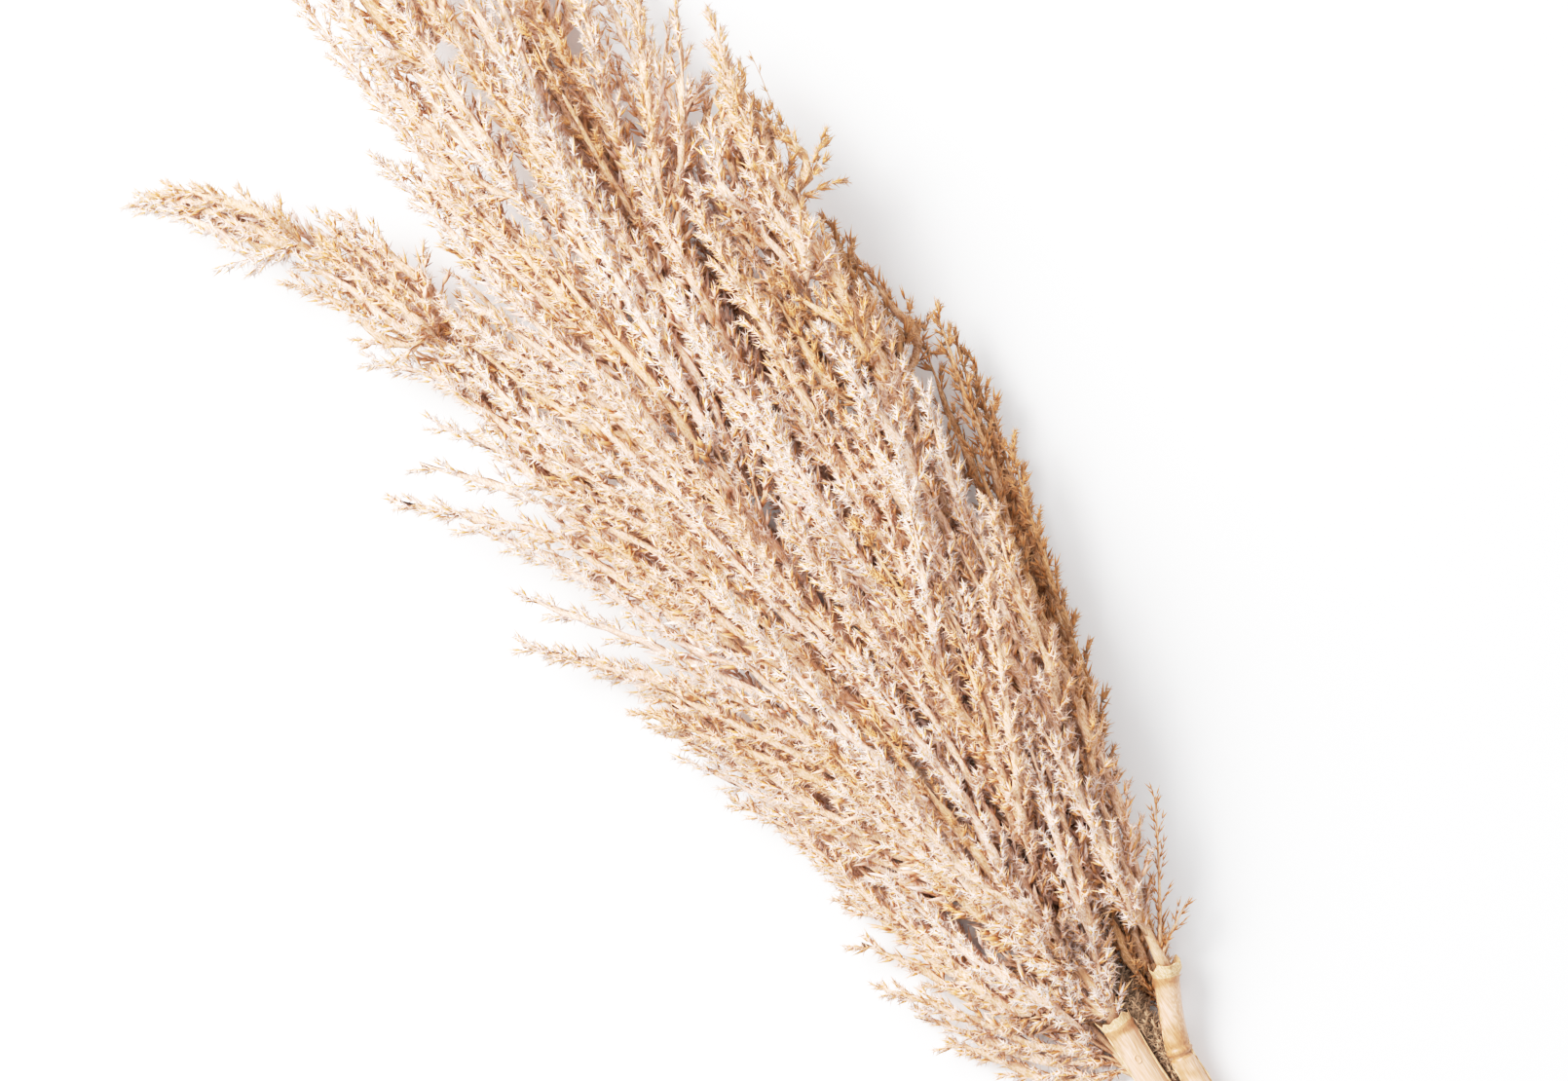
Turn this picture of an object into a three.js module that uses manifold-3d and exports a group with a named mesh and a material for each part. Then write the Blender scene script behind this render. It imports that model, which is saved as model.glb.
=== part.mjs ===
// A bundle of dried pampas grass lying on its side: five cut culms, each with its feathery plume.
// Millimetres. +Y runs from the cut ends to the plume tips, +X across, +Z up, and the bundle lies on z = 0.
import * as THREE from "three";
import { mergeVertices } from "three/addons/utils/BufferGeometryUtils.js";
import Module from "manifold-3d";

const wasm = await Module();
wasm.setup();

// The middle of the bundle's box, in the millimetres that the layout below is written in.
const middle = { x: -39.1, y: 261.4 };

// The crowded body of the bundle: its left and right edges and its height at stations along it.
const body = [
  { y: 0, left: -26, right: 18, height: 34 },
  { y: 70, left: -62, right: 36, height: 60 },
  { y: 150, left: -78, right: 56, height: 82 },
  { y: 260, left: -110, right: 72, height: 96 },
  { y: 345, left: -102, right: 74, height: 92 },
  { y: 420, left: -84, right: 66, height: 80 },
  { y: 500, left: -60, right: 54, height: 66 },
  { y: 580, left: -52, right: 40, height: 48 },
  { y: 660, left: -42, right: 18, height: 30 },
];

// Culms: their sides, the narrow rings at their nodes, how much slimmer they are between the nodes,
// and the shares of their length where they may bend.
const culmSides = 8;
const culmNodeLength = 5;
const culmSlimness = 0.93;
const culmBends = [0.5, 0.9];
const lowCulmRadius = 4.4;
const lying = lowCulmRadius * culmSlimness * Math.cos(Math.PI / culmSides);

// A culm is a run of points from its cut end to the node where its plume starts.
// A rachis is a Bezier curve from that node: its two inner handles, then the plume's tip.
// A sector is the part of the bundle's girth, in degrees from +X over the top, that a plume's sprays fill.
// A reach is a spray that stands out of the crowd: where it starts along the rachis, and where its tip is.
const plumes = [
  {
    name: "top_left",
    seed: 90217,
    culmRadius: 6.5,
    culm: [[-7, -118, 13.9], [-6.4, -50, 14.4], [-6, 20, 18]],
    culmNodes: [0.3, 0.985],
    rachis: [[-8, 190, 72], [-36, 400, 66], [-32, 642, 40]],
    sector: [86, 184],
    gatherFrom: 0.75,
    whorls: 8,
    lengths: [208, 104],
    sprayRadius: 10,
    reaches: [
      { start: 0.01, tip: [27, 147, 68] },
      { start: 0.05, tip: [-33, 165, 84] },
      { start: 0.1, tip: [46, 202, 86] },
      { start: 0.18, tip: [40, 254, 96] },
      { start: 0.44, tip: [-7, 476, 74] },
      { start: 0.5, tip: [-17, 516, 64] },
      { start: 0.5, tip: [61, 494, 46] },
      { start: 0.62, tip: [60, 440, 30] },
      { start: 0.44, tip: [-82, 424, 52] },
      { start: 0.54, tip: [-70, 484, 40] },
    ],
  },
  {
    name: "top_right",
    seed: 41953,
    culmRadius: 5.5,
    culm: [[6.5, -106, 12], [8.8, -20, 14.4], [9.6, -5, 15], [14, 8, 16.4], [22.6, 27, 20]],
    culmNodes: [0.26, 0.75, 0.985],
    rachis: [[46, 190, 72], [26, 320, 64], [77, 458, 48]],
    sector: [0, 84],
    gatherFrom: 0.65,
    whorls: 8,
    lengths: [180, 56],
    sprayRadius: 10,
    reaches: [
      { start: 0.01, tip: [58, 91, 30], radius: 3.4 },
      { start: 0.01, tip: [44, 46, 24], radius: 2.6 },
      { start: 0.2, tip: [64, 228, 80] },
      { start: 0.66, tip: [91, 441, 36], radius: 4.2 },
    ],
  },
  {
    name: "low_left",
    seed: 67121,
    culmRadius: lowCulmRadius,
    culm: [[-12, -128, lying], [-10.4, -70, lying], [-9.4, -12, lying]],
    culmNodes: [0.42, 0.985],
    rachis: [[-50, 200, 40], [-66, 474, 44], [-163, 526, 30]],
    sector: [172, 236],
    gatherFrom: 0.62,
    whorls: 6,
    lengths: [190, 74],
    sprayRadius: 9.6,
    reaches: [
      { start: 0.01, tip: [-71, 50, 12] },
      { start: 0.02, tip: [-80, 84, 20] },
      { start: 0.06, tip: [-75, 124, 12] },
      { start: 0.14, tip: [-91, 184, 18] },
      { start: 0.16, tip: [-99, 226, 30] },
      { start: 0.22, tip: [-105, 262, 14] },
      { start: 0.28, tip: [-129, 285, 24] },
      { start: 0.34, tip: [-108, 320, 40] },
      { start: 0.42, tip: [-139, 362, 26] },
      { start: 0.5, tip: [-108, 380, 50] },
      { start: 0.6, tip: [-118, 418, 20] },
      { start: 0.66, tip: [-127, 460, 44] },
      { start: 0.5, tip: [-96, 466, 34] },
    ],
  },
  {
    name: "low_middle",
    seed: 30727,
    culmRadius: lowCulmRadius,
    culm: [[-1, -112, lying], [0, -60, lying], [0.2, -8, lying]],
    culmNodes: [0.66, 0.985],
    rachis: [[-6, 170, 30], [-2, 400, 24], [36, 606, 26]],
    sector: [240, 306],
    gatherFrom: 0.75,
    whorls: 7,
    lengths: [208, 104],
    sprayRadius: 10,
    reaches: [
      { start: 0.1, tip: [22, 268, 44] },
      { start: 0.26, tip: [27, 336, 40] },
      { start: 0.36, tip: [30, 402, 30] },
      { start: 0.4, tip: [-64, 440, 26] },
    ],
  },
  {
    name: "low_right",
    seed: 55837,
    culmRadius: lowCulmRadius,
    culm: [[12, -122, lying], [10.6, -66, lying], [9.8, -10, lying]],
    culmNodes: [0.2, 0.985],
    rachis: [[42, 120, 14], [50, 240, 46], [73, 364, 28]],
    sector: [308, 358],
    gatherFrom: 0.65,
    whorls: 5,
    lengths: [170, 60],
    sprayRadius: 9.6,
    reaches: [
      { start: 0.44, tip: [90, 306, 30] },
      { start: 0.3, tip: [93, 286, 18] },
      { start: 0.24, tip: [86, 246, 34] },
    ],
  },
];

// The rachis: how far it starts from its culm, the steps of its straight foot, its sides, rings and radius.
const jointGap = 0.3;
const straightFoot = 2.5;
const rachisSides = 6;
const rachisRings = 12;
const rachisShare = 0.75;
const rachisTipRadius = 1.4;
const rachisTaper = 0.7;

// Where the sprays grow: shares of the rachis, and turns round the plume's sector.
const spraysPerWhorl = 3;
const firstWhorl = 0.02;
const lastWhorl = 0.8;
const whorlJitter = 0.25;
const turnStep = 0.382;
const turnJitter = 0.12;
const apexStart = 0.8;
const apexOverlap = 0.02;

// How far the sprays reach: along the plume, out to the skin of the body, and in again towards the tip.
const sideShortening = 0.25;
const lengthSpread = [0.85, 1.12];
const forwardShare = 0.94;
const shortOfTip = 6;
const innerShare = 0.45;
const gatherReach = 17;
const gatherPower = 0.7;
const gatheredShare = 0.2;
const goldenAngle = Math.PI * (3 - Math.sqrt(5));

// The line of a spray: it leaves the rachis at a slant and bends on towards its tip.
const pointsPerSpray = 14;
const leavingAngle = 22;
const leavingHandle = 0.36;
const arrivingHandle = 0.34;
const tipDroop = 0.15;

// The girth of a spray: it swells from its root and tapers to its tip.
const radiusSpread = [0.86, 1.1];
const reachSlimness = 0.9;
const swellLength = 0.2;
const rootSwell = 0.14;
const tipTaper = 0.72;

// The crowding that pushes neighbouring sprays clear of each other, of the stems and of the surface.
const settleRounds = 60;
const packing = 0.94;
const nearAlong = 20;
const sprayGive = 0.25;
const stemGive = 0.3;
const floorGive = 0.5;
const skinGive = 0.3;
const stiffPoints = 3;
const pointsPerStem = 60;
const ownStemShare = 0.3;
const stemCrowding = 0.6;
const restHeightShare = 0.72;

// The room that tufts leave to the sprays and stems round them.
const clearance = 0.8;
const strangerClearance = 1;
const strangerMargin = 1.15;
const stemMargin = 2;
const crowdedShare = 0.14;
const bareShare = 0.25;
const farthestTuft = 30;

// The tufts that stand out along a spray, larger than life, in four rows round a slim core.
// They draw from a stream of their own, a few seeds on from their plume's.
const rows = 4;
const tuftStep = 13;
const fewestRings = 6;
const tuftLean = 15;
const leanSpread = [0.85, 1.2];
const heightSpread = [0.9, 1.2];
const tuftTwist = 24;
const tuftSway = 30;
const coreShare = 0.48;
const thinnestCore = 1.1;
const rootRadius = 1.15;
const tipLength = 9;
const tuftStream = 3;
const shrinkSteps = 14;
const shrinkShare = 0.86;

// Fine steps that only settle how exactly a curve or a joined surface is followed.
const framesPerCurve = 200;
const surfaceTolerance = 0.005;
const tiny = 1e-6;

const straw = new THREE.MeshStandardMaterial({ color: "#dcbb87", roughness: 0.62, metalness: 0 });
const fluff = new THREE.MeshStandardMaterial({ color: "#ecd3b6", roughness: 0.92, metalness: 0 });

const radians = THREE.MathUtils.degToRad;
const mix = THREE.MathUtils.lerp;
const clamp = THREE.MathUtils.clamp;

// A repeatable stream of draws from 0 to 1.
function drawsFrom(seed) {
  let state = seed >>> 0;
  return () => {
    state = (Math.imul(state, 1664525) + 1013904223) >>> 0;
    return state / 2 ** 32;
  };
}

// The middle, half width and half height of the body's section at a distance along it.
function sectionAt(y) {
  let i = 1;
  while (i < body.length - 1 && y > body[i].y) i++;
  const share = clamp((y - body[i - 1].y) / (body[i].y - body[i - 1].y), 0, 1);
  const left = mix(body[i - 1].left, body[i].left, share);
  const right = mix(body[i - 1].right, body[i].right, share);
  const height = mix(body[i - 1].height, body[i].height, share);
  return { x: (left + right) / 2, z: height / 2, halfWidth: (right - left) / 2, halfHeight: height / 2 };
}

// A point of the body's section, at an angle round the girth and a share of the way out to its skin.
function bodyPoint(y, angle, share) {
  const section = sectionAt(y);
  return new THREE.Vector3(
    section.x + section.halfWidth * share * Math.cos(radians(angle)),
    y,
    section.z + section.halfHeight * share * Math.sin(radians(angle)),
  );
}

function culmCurve(plume) {
  return new THREE.CatmullRomCurve3(plume.culm.map((p) => new THREE.Vector3(...p)));
}

// The axis of a plume, which starts just clear of its culm's top.
function rachisCurve(plume) {
  const culm = culmCurve(plume);
  const foot = culm.getPoint(1).addScaledVector(culm.getTangent(1), jointGap);
  return new THREE.CubicBezierCurve3(foot, ...plume.rachis.map((p) => new THREE.Vector3(...p)));
}

// The outer radius of a spray's plume at a share of its length from the root.
function plumeRadius(spray, share) {
  const swell = clamp(share / swellLength, rootSwell, 1);
  const taper = 1 - tipTaper * share * share;
  return spray.radius * swell * taper;
}

// A spray from a share of its rachis to its tip, as a line of points.
function sprayFrom(plume, start, tip, details) {
  const curve = rachisCurve(plume);
  const root = curve.getPoint(start);
  const along = curve.getTangent(start);
  const reach = tip.clone().sub(root);
  const run = reach.length();
  const chord = reach.clone().normalize();
  const outward = reach.addScaledVector(along, -reach.dot(along)).normalize();
  const leaving = along
    .clone()
    .multiplyScalar(Math.cos(radians(leavingAngle)))
    .addScaledVector(outward, Math.sin(radians(leavingAngle)));
  const onward = chord.clone().addScaledVector(along, -tipDroop).normalize();
  const line = new THREE.CubicBezierCurve3(
    root,
    root.clone().addScaledVector(leaving, run * leavingHandle),
    tip.clone().addScaledVector(onward, -run * arrivingHandle),
    tip,
  );
  const points = [];
  for (let i = 0; i < pointsPerSpray; i++) points.push(line.getPoint(i / (pointsPerSpray - 1)));
  return { plume: plume.name, radius: plume.sprayRadius, pinned: false, points, ...details };
}

// Every spray of a plume: its whorls, its reaches and its apex.
function spraysOf(plume) {
  const draw = drawsFrom(plume.seed);
  const curve = rachisCurve(plume);
  const tipY = curve.getPoint(1).y;
  const sprays = [];
  const count = plume.whorls * spraysPerWhorl;
  for (let i = 0; i < count; i++) {
    const whorl = Math.floor(i / spraysPerWhorl);
    const along = (whorl + whorlJitter * draw()) / (plume.whorls - 1);
    const start = mix(firstWhorl, lastWhorl, Math.min(1, along));
    const turn = (i * turnStep + turnJitter * draw()) % 1;
    const angle = mix(plume.sector[0], plume.sector[1], turn);
    const shorter = 1 - sideShortening * Math.abs(Math.cos(radians(angle)));
    const length = mix(...plume.lengths, start / lastWhorl) * shorter * mix(...lengthSpread, draw());
    const y = Math.min(curve.getPoint(start).y + length * forwardShare, tipY - shortOfTip);
    const tip = bodyPoint(y, angle, mix(innerShare, 1, Math.sqrt(draw())));
    const gather = clamp((y / tipY - plume.gatherFrom) / (1 - plume.gatherFrom), 0, 1);
    const near = rachisAt(curve, y);
    near.x += gatherReach * Math.cos(i * goldenAngle);
    near.z += gatherReach * Math.sin(i * goldenAngle);
    tip.lerp(near, gather ** gatherPower);
    const radius = plume.sprayRadius * mix(...radiusSpread, draw());
    sprays.push(sprayFrom(plume, start, tip, { radius, crowded: gather < gatheredShare }));
  }
  for (const reach of plume.reaches) {
    const radius = reach.radius ?? plume.sprayRadius * reachSlimness;
    sprays.push(sprayFrom(plume, reach.start, new THREE.Vector3(...reach.tip), { radius, pinned: true }));
  }
  const apex = sprayFrom(plume, apexStart, curve.getPoint(1), { pinned: true });
  apex.points = apex.points.map((_, i) => curve.getPoint(mix(apexStart, 1, i / (pointsPerSpray - 1))));
  sprays.push(apex);
  return sprays;
}

// The point of a rachis that lies at a distance along the bundle.
function rachisAt(curve, y) {
  let low = 0;
  let high = 1;
  while (high - low > tiny) {
    const half = (low + high) / 2;
    if (curve.getPoint(half).y < y) low = half;
    else high = half;
  }
  return curve.getPoint(low);
}

// The radius of a rachis at a share of its length.
function rachisRadius(plume, share) {
  return mix(plume.culmRadius * rachisShare, rachisTipRadius, share ** rachisTaper);
}

// The firm lines that sprays lie round: a plume's rachis and culm.
function stemsOf(plume) {
  const rachis = rachisCurve(plume);
  const culm = culmCurve(plume);
  const stations = Array.from({ length: pointsPerStem }, (_, i) => i / (pointsPerStem - 1));
  return [
    {
      plume: plume.name,
      points: stations.map((share) => rachis.getPoint(share * apexStart)),
      radiusAt: (share) => rachisRadius(plume, share * apexStart),
    },
    {
      plume: plume.name,
      points: stations.map((share) => culm.getPoint(share)),
      radiusAt: () => plume.culmRadius,
    },
  ];
}

// How freely a point of a spray moves as the bundle settles: not at its root, nor at a pinned tip.
function freedom(spray, i) {
  const last = pointsPerSpray - 1;
  const fromRoot = clamp((i - 1) / stiffPoints, 0, 1);
  const fromTip = spray.pinned ? clamp((last - i) / stiffPoints, 0, 1) : 1;
  return Math.min(fromRoot, fromTip);
}

// Pushes every spray clear of its neighbours, of the stems and of the surface below.
function settle(sprays, stems) {
  const last = pointsPerSpray - 1;
  const spots = sprays.flatMap((spray, s) =>
    spray.points.map((point, i) => ({
      spray: s,
      plume: spray.plume,
      point,
      share: i / last,
      radius: plumeRadius(spray, i / last),
      free: freedom(spray, i),
      push: new THREE.Vector3(),
      soft: new THREE.Vector3(),
    })),
  );
  const gap = new THREE.Vector3();
  for (let round = 0; round < settleRounds; round++) {
    for (const spot of spots) spot.push.set(0, 0, 0);
    for (let i = 0; i < spots.length; i++) {
      const a = spots[i];
      for (let j = i + 1; j < spots.length; j++) {
        const b = spots[j];
        if (a.spray === b.spray || Math.abs(a.point.y - b.point.y) > nearAlong) continue;
        if (a.plume === b.plume && Math.min(a.share, b.share) < crowdedShare) continue;
        gap.subVectors(a.point, b.point);
        const wanted = (a.radius + b.radius) * packing;
        const distance = gap.length();
        if (distance >= wanted || distance < tiny) continue;
        gap.multiplyScalar((sprayGive * (wanted - distance)) / distance);
        a.push.add(gap);
        b.push.sub(gap);
      }
      for (const stem of stems) {
        if (stem.plume === a.plume && a.share < ownStemShare) continue;
        const { distance, share } = toLine(a.point, stem.points);
        const wanted = a.radius * stemCrowding + stem.radiusAt(share) + stemMargin;
        if (distance >= wanted || distance < tiny) continue;
        gap.subVectors(a.point, onLine);
        a.push.addScaledVector(gap, (stemGive * (wanted - distance)) / distance);
      }
      const floor = a.radius * restHeightShare - a.point.z;
      if (floor > 0) a.push.z += floorGive * floor;
      if (sprays[a.spray].crowded) pullInside(a);
    }
    for (let s = 0; s < sprays.length; s++) {
      const own = spots.slice(s * pointsPerSpray, (s + 1) * pointsPerSpray);
      smoothPushes(own);
      smoothPushes(own);
      for (const spot of own) spot.point.addScaledVector(spot.push, spot.free);
    }
  }
}

// Draws a spot that has left the body's section back towards its skin.
function pullInside(spot) {
  const section = sectionAt(spot.point.y);
  const across = spot.point.x - section.x;
  const up = spot.point.z - section.z;
  const share = Math.hypot(across / section.halfWidth, up / section.halfHeight);
  if (share <= 1) return;
  const back = skinGive * (1 / share - 1);
  spot.push.x += across * back;
  spot.push.z += up * back;
}

// Spreads the pushes along a spray, because its stalk is springy.
function smoothPushes(own) {
  for (let i = 0; i < own.length; i++) {
    const before = own[Math.max(0, i - 1)].push;
    const after = own[Math.min(own.length - 1, i + 1)].push;
    own[i].soft.copy(own[i].push).multiplyScalar(2).add(before).add(after).multiplyScalar(0.25);
  }
  for (const spot of own) spot.push.copy(spot.soft);
}

// The distance from a point to a line of points, and the share of the line where the nearest spot is.
// That spot is left in onLine.
const onLine = new THREE.Vector3();
const onSegment = new THREE.Vector3();
const segment = new THREE.Line3();
function toLine(point, points) {
  let distance = Infinity;
  let share = 0;
  for (let i = 1; i < points.length; i++) {
    segment.set(points[i - 1], points[i]);
    const step = segment.closestPointToPointParameter(point, true);
    segment.at(step, onSegment);
    if (onSegment.distanceTo(point) >= distance) continue;
    distance = onSegment.distanceTo(point);
    share = (i - 1 + step) / (points.length - 1);
    onLine.copy(onSegment);
  }
  return { distance, share };
}

// True if a tuft's point is off every stem and, for their radii, nearer to its own spray than to the others.
function hasRoom(point, toOwn, spray, share, sprays, stems) {
  const ownRadius = plumeRadius(spray, share);
  for (const other of sprays) {
    if (other === spray || other.centre.distanceTo(point) > other.span) continue;
    const nearest = toLine(point, other.points);
    const kin = other.plume === spray.plume;
    if (kin && Math.min(share, nearest.share) < crowdedShare) continue;
    const otherRadius = plumeRadius(other, nearest.share) * (kin ? 1 : strangerMargin);
    const room = nearest.distance - (kin ? clearance : strangerClearance);
    if (toOwn * otherRadius > room * ownRadius) return false;
  }
  for (const stem of stems) {
    if (stem.plume === spray.plume && share < bareShare) continue;
    const nearest = toLine(point, stem.points);
    const stemRadius = stem.radiusAt(nearest.share);
    if (nearest.distance < stemRadius + clearance) return false;
    if (toOwn * (stemRadius + stemMargin) > (nearest.distance - clearance) * ownRadius) return false;
  }
  return true;
}

// The triangles of a geometry as a solid that can be joined and cut. Where solids are joined, edges
// shorter than the tolerance are merged away.
function solidOf(geometry) {
  return new wasm.Manifold(
    new wasm.Mesh({
      numProp: 3,
      vertProperties: new Float32Array(geometry.attributes.position.array),
      triVerts: new Uint32Array(geometry.index.array),
      tolerance: surfaceTolerance,
    }),
  );
}

function geometryOf(solid) {
  const mesh = solid.getMesh();
  const geometry = new THREE.BufferGeometry();
  geometry.setAttribute("position", new THREE.BufferAttribute(mesh.vertProperties, 3));
  geometry.setIndex(new THREE.BufferAttribute(mesh.triVerts, 1));
  geometry.computeVertexNormals();
  return geometry;
}

// A closed tube along a curve, with a ring at each of the given shares of its length.
// place(ring, side, frame) gives each vertex, and the middle of a cap has no side.
function tubeAlong(curve, shares, sides, place) {
  const rings = shares.length - 1;
  const unit = new THREE.CylinderGeometry(1, 1, 1, sides, rings);
  unit.deleteAttribute("normal");
  unit.deleteAttribute("uv");
  const geometry = mergeVertices(unit, 1e-4);
  const smoothest = curve.computeFrenetFrames(framesPerCurve, false);
  const position = geometry.attributes.position;
  for (let i = 0; i < position.count; i++) {
    const ring = Math.round((position.getY(i) + 0.5) * rings);
    const share = shares[ring];
    const step = Math.round(share * framesPerCurve);
    const frame = {
      share,
      point: curve.getPointAt(share),
      tangent: smoothest.tangents[step],
      normal: smoothest.normals[step],
      binormal: smoothest.binormals[step],
    };
    const middleOfCap = Math.hypot(position.getX(i), position.getZ(i)) < 0.5;
    const angle = Math.atan2(position.getX(i), position.getZ(i));
    const side = middleOfCap ? null : (Math.round((angle / (2 * Math.PI)) * sides) + sides) % sides;
    const placed = place(ring, side, frame);
    position.setXYZ(i, placed.x, placed.y, placed.z);
  }
  return solidOf(geometry);
}

function evenShares(rings) {
  return Array.from({ length: rings + 1 }, (_, i) => i / rings);
}

// The direction that points away from the curve at an angle of its section.
function sectionDirection(frame, angle) {
  return new THREE.Vector3()
    .addScaledVector(frame.normal, Math.cos(angle))
    .addScaledVector(frame.binormal, Math.sin(angle));
}

// A round stem whose radius depends on the share of its length, with a flat of its section facing down.
function stemSolid(curve, shares, sides, radiusAt) {
  const down = new THREE.Vector3(0, 0, -1);
  return tubeAlong(curve, shares, sides, (ring, side, frame) => {
    if (side === null) return frame.point;
    const across = new THREE.Vector3().crossVectors(frame.tangent, down).normalize();
    const below = new THREE.Vector3().crossVectors(across, frame.tangent).normalize();
    const angle = ((side + 0.5) / sides) * 2 * Math.PI;
    const radius = radiusAt(frame.share);
    const spot = frame.point
      .addScaledVector(below, radius * Math.cos(angle))
      .addScaledVector(across, radius * Math.sin(angle));
    spot.z = Math.max(spot.z, 0);
    return spot;
  });
}

// One spray: a slim core with tufts standing out of it in staggered rows, each leaning towards the tip.
function spraySolid(spray, sprays, stems, draw) {
  const curve = new THREE.CatmullRomCurve3(spray.points);
  const length = curve.getLength();
  const rings = Math.max(fewestRings, Math.round(length / tuftStep));
  const phase = draw() * 360;
  return tubeAlong(curve, evenShares(rings), rows, (ring, side, frame) => {
    const atTip = ring === rings;
    const point = frame.point;
    if (side === null) return atTip ? point.addScaledVector(frame.tangent, tipLength) : point;
    const standsOut = (ring + side) % 2 === 0 && ring > 1 && !atTip;
    const sway = standsOut ? tuftSway * (draw() - 0.5) : 0;
    const angle = radians(phase + tuftTwist * ring + (side * 360) / rows + sway);
    const outward = sectionDirection(frame, angle);
    const core = Math.max(thinnestCore, coreShare * plumeRadius(spray, frame.share));
    if (ring === 0) return point.addScaledVector(outward, rootRadius);
    if (atTip) return point.addScaledVector(outward, thinnestCore);
    let radius = standsOut ? plumeRadius(spray, frame.share) * mix(...heightSpread, draw()) : core;
    const lean = standsOut ? tuftLean * mix(...leanSpread, draw()) : 0;
    const ahead = Math.min(1, frame.share + lean / length);
    const foot = curve.getPointAt(ahead);
    const spot = new THREE.Vector3();
    for (let attempt = 0; attempt < shrinkSteps; attempt++) {
      spot.copy(foot).addScaledVector(outward, radius);
      spot.z = Math.max(spot.z, 0);
      if (hasRoom(spot, radius, spray, ahead, sprays, stems)) break;
      radius *= shrinkShare;
    }
    return spot;
  });
}

// A plume: the rachis and every spray that grows from it, joined, and pressed flat where it lies.
function plumeSolid(plume, sprays, stems) {
  const draw = drawsFrom(plume.seed + tuftStream);
  const curve = rachisCurve(plume);
  const foot = curve.getPoint(0);
  const onward = culmCurve(plume).getTangent(1);
  const straight = [0, 1, 2].map((steps) => foot.clone().addScaledVector(onward, steps * straightFoot));
  const rachisEnd = apexStart + apexOverlap;
  const rest = evenShares(rachisRings).slice(1).map((share) => curve.getPoint(share * rachisEnd));
  const bare = new THREE.CatmullRomCurve3([...straight, ...rest]);
  const rachis = stemSolid(bare, evenShares(rachisRings), rachisSides, (share) =>
    rachisRadius(plume, share * apexStart),
  );
  const own = sprays.filter((spray) => spray.plume === plume.name);
  const solids = own.map((spray) => spraySolid(spray, sprays, stems, draw));
  return outerSkin(wasm.Manifold.union([rachis, ...solids]));
}

// A solid with the pockets that its crossing sprays seal off filled in.
function outerSkin(solid) {
  return solid.decompose().reduce((most, shell) => (shell.volume() > most.volume() ? shell : most));
}

// A culm is straight between its nodes, and each node is a narrow ring that stands a little proud.
function culmSolid(plume) {
  const curve = culmCurve(plume);
  const half = culmNodeLength / 2 / curve.getLength();
  const all = plume.culmNodes.flatMap((node) => [node - half, node, node + half]);
  const rings = all.filter((share) => share < 1);
  const bends = culmBends.filter((share) => rings.every((ring) => Math.abs(ring - share) > half));
  const shares = [0, ...rings, ...bends, 1].sort((a, b) => a - b);
  return stemSolid(curve, shares, culmSides, (share) => {
    const atNode = plume.culmNodes.includes(share);
    return plume.culmRadius * (atNode ? 1 : culmSlimness);
  });
}

const bundle = new THREE.Group();
bundle.position.set(-middle.x, -middle.y, 0);
const root = new THREE.Group();
root.add(bundle);

const sprays = plumes.flatMap(spraysOf);
const stems = plumes.flatMap(stemsOf);
settle(sprays, stems);
for (const spray of sprays) {
  const sphere = new THREE.Sphere().setFromPoints(spray.points);
  spray.centre = sphere.center;
  spray.span = sphere.radius + farthestTuft;
}

for (const plume of plumes) {
  const culm = new THREE.Mesh(geometryOf(culmSolid(plume)), straw);
  culm.name = `culm_${plume.name}`;
  const head = new THREE.Mesh(geometryOf(plumeSolid(plume, sprays, stems)), fluff);
  head.name = `plume_${plume.name}`;
  bundle.add(culm, head);
}

export default root;
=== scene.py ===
import math

import bmesh
import bpy
import numpy as np
from mathutils import Matrix, Vector


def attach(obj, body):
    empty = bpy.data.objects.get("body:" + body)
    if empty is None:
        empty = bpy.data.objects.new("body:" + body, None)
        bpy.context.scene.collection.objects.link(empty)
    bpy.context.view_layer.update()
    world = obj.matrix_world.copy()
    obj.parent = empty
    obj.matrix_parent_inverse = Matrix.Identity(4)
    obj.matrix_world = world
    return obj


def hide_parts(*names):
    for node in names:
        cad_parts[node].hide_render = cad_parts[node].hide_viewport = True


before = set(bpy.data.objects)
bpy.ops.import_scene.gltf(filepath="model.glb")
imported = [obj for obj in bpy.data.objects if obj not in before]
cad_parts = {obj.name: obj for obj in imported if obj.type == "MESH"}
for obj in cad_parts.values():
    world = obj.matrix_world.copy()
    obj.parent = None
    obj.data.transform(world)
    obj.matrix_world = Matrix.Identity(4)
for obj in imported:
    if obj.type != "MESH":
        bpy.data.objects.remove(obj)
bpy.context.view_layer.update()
mm = 0.001

# How the bundle lies, in millimetres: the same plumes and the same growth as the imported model's.
# A section is the crowded body's left and right edge and its height at a distance along it.
bundle = {
    "middle": (-39.1, 261.4),
    "sections": [
        (0, -26, 18, 34), (70, -62, 36, 60), (150, -78, 56, 82), (260, -110, 72, 96), (345, -102, 74, 92),
        (420, -84, 66, 80), (500, -60, 54, 66), (580, -52, 40, 48), (660, -42, 18, 30),
    ],
    "culmSides": 8,
    "culmSlimness": 0.93,
    "lowCulmRadius": 4.4,
    "jointGap": 0.3,
    "spanSamples": 200,
}
lying = bundle["lowCulmRadius"] * bundle["culmSlimness"] * math.cos(math.pi / bundle["culmSides"])

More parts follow.
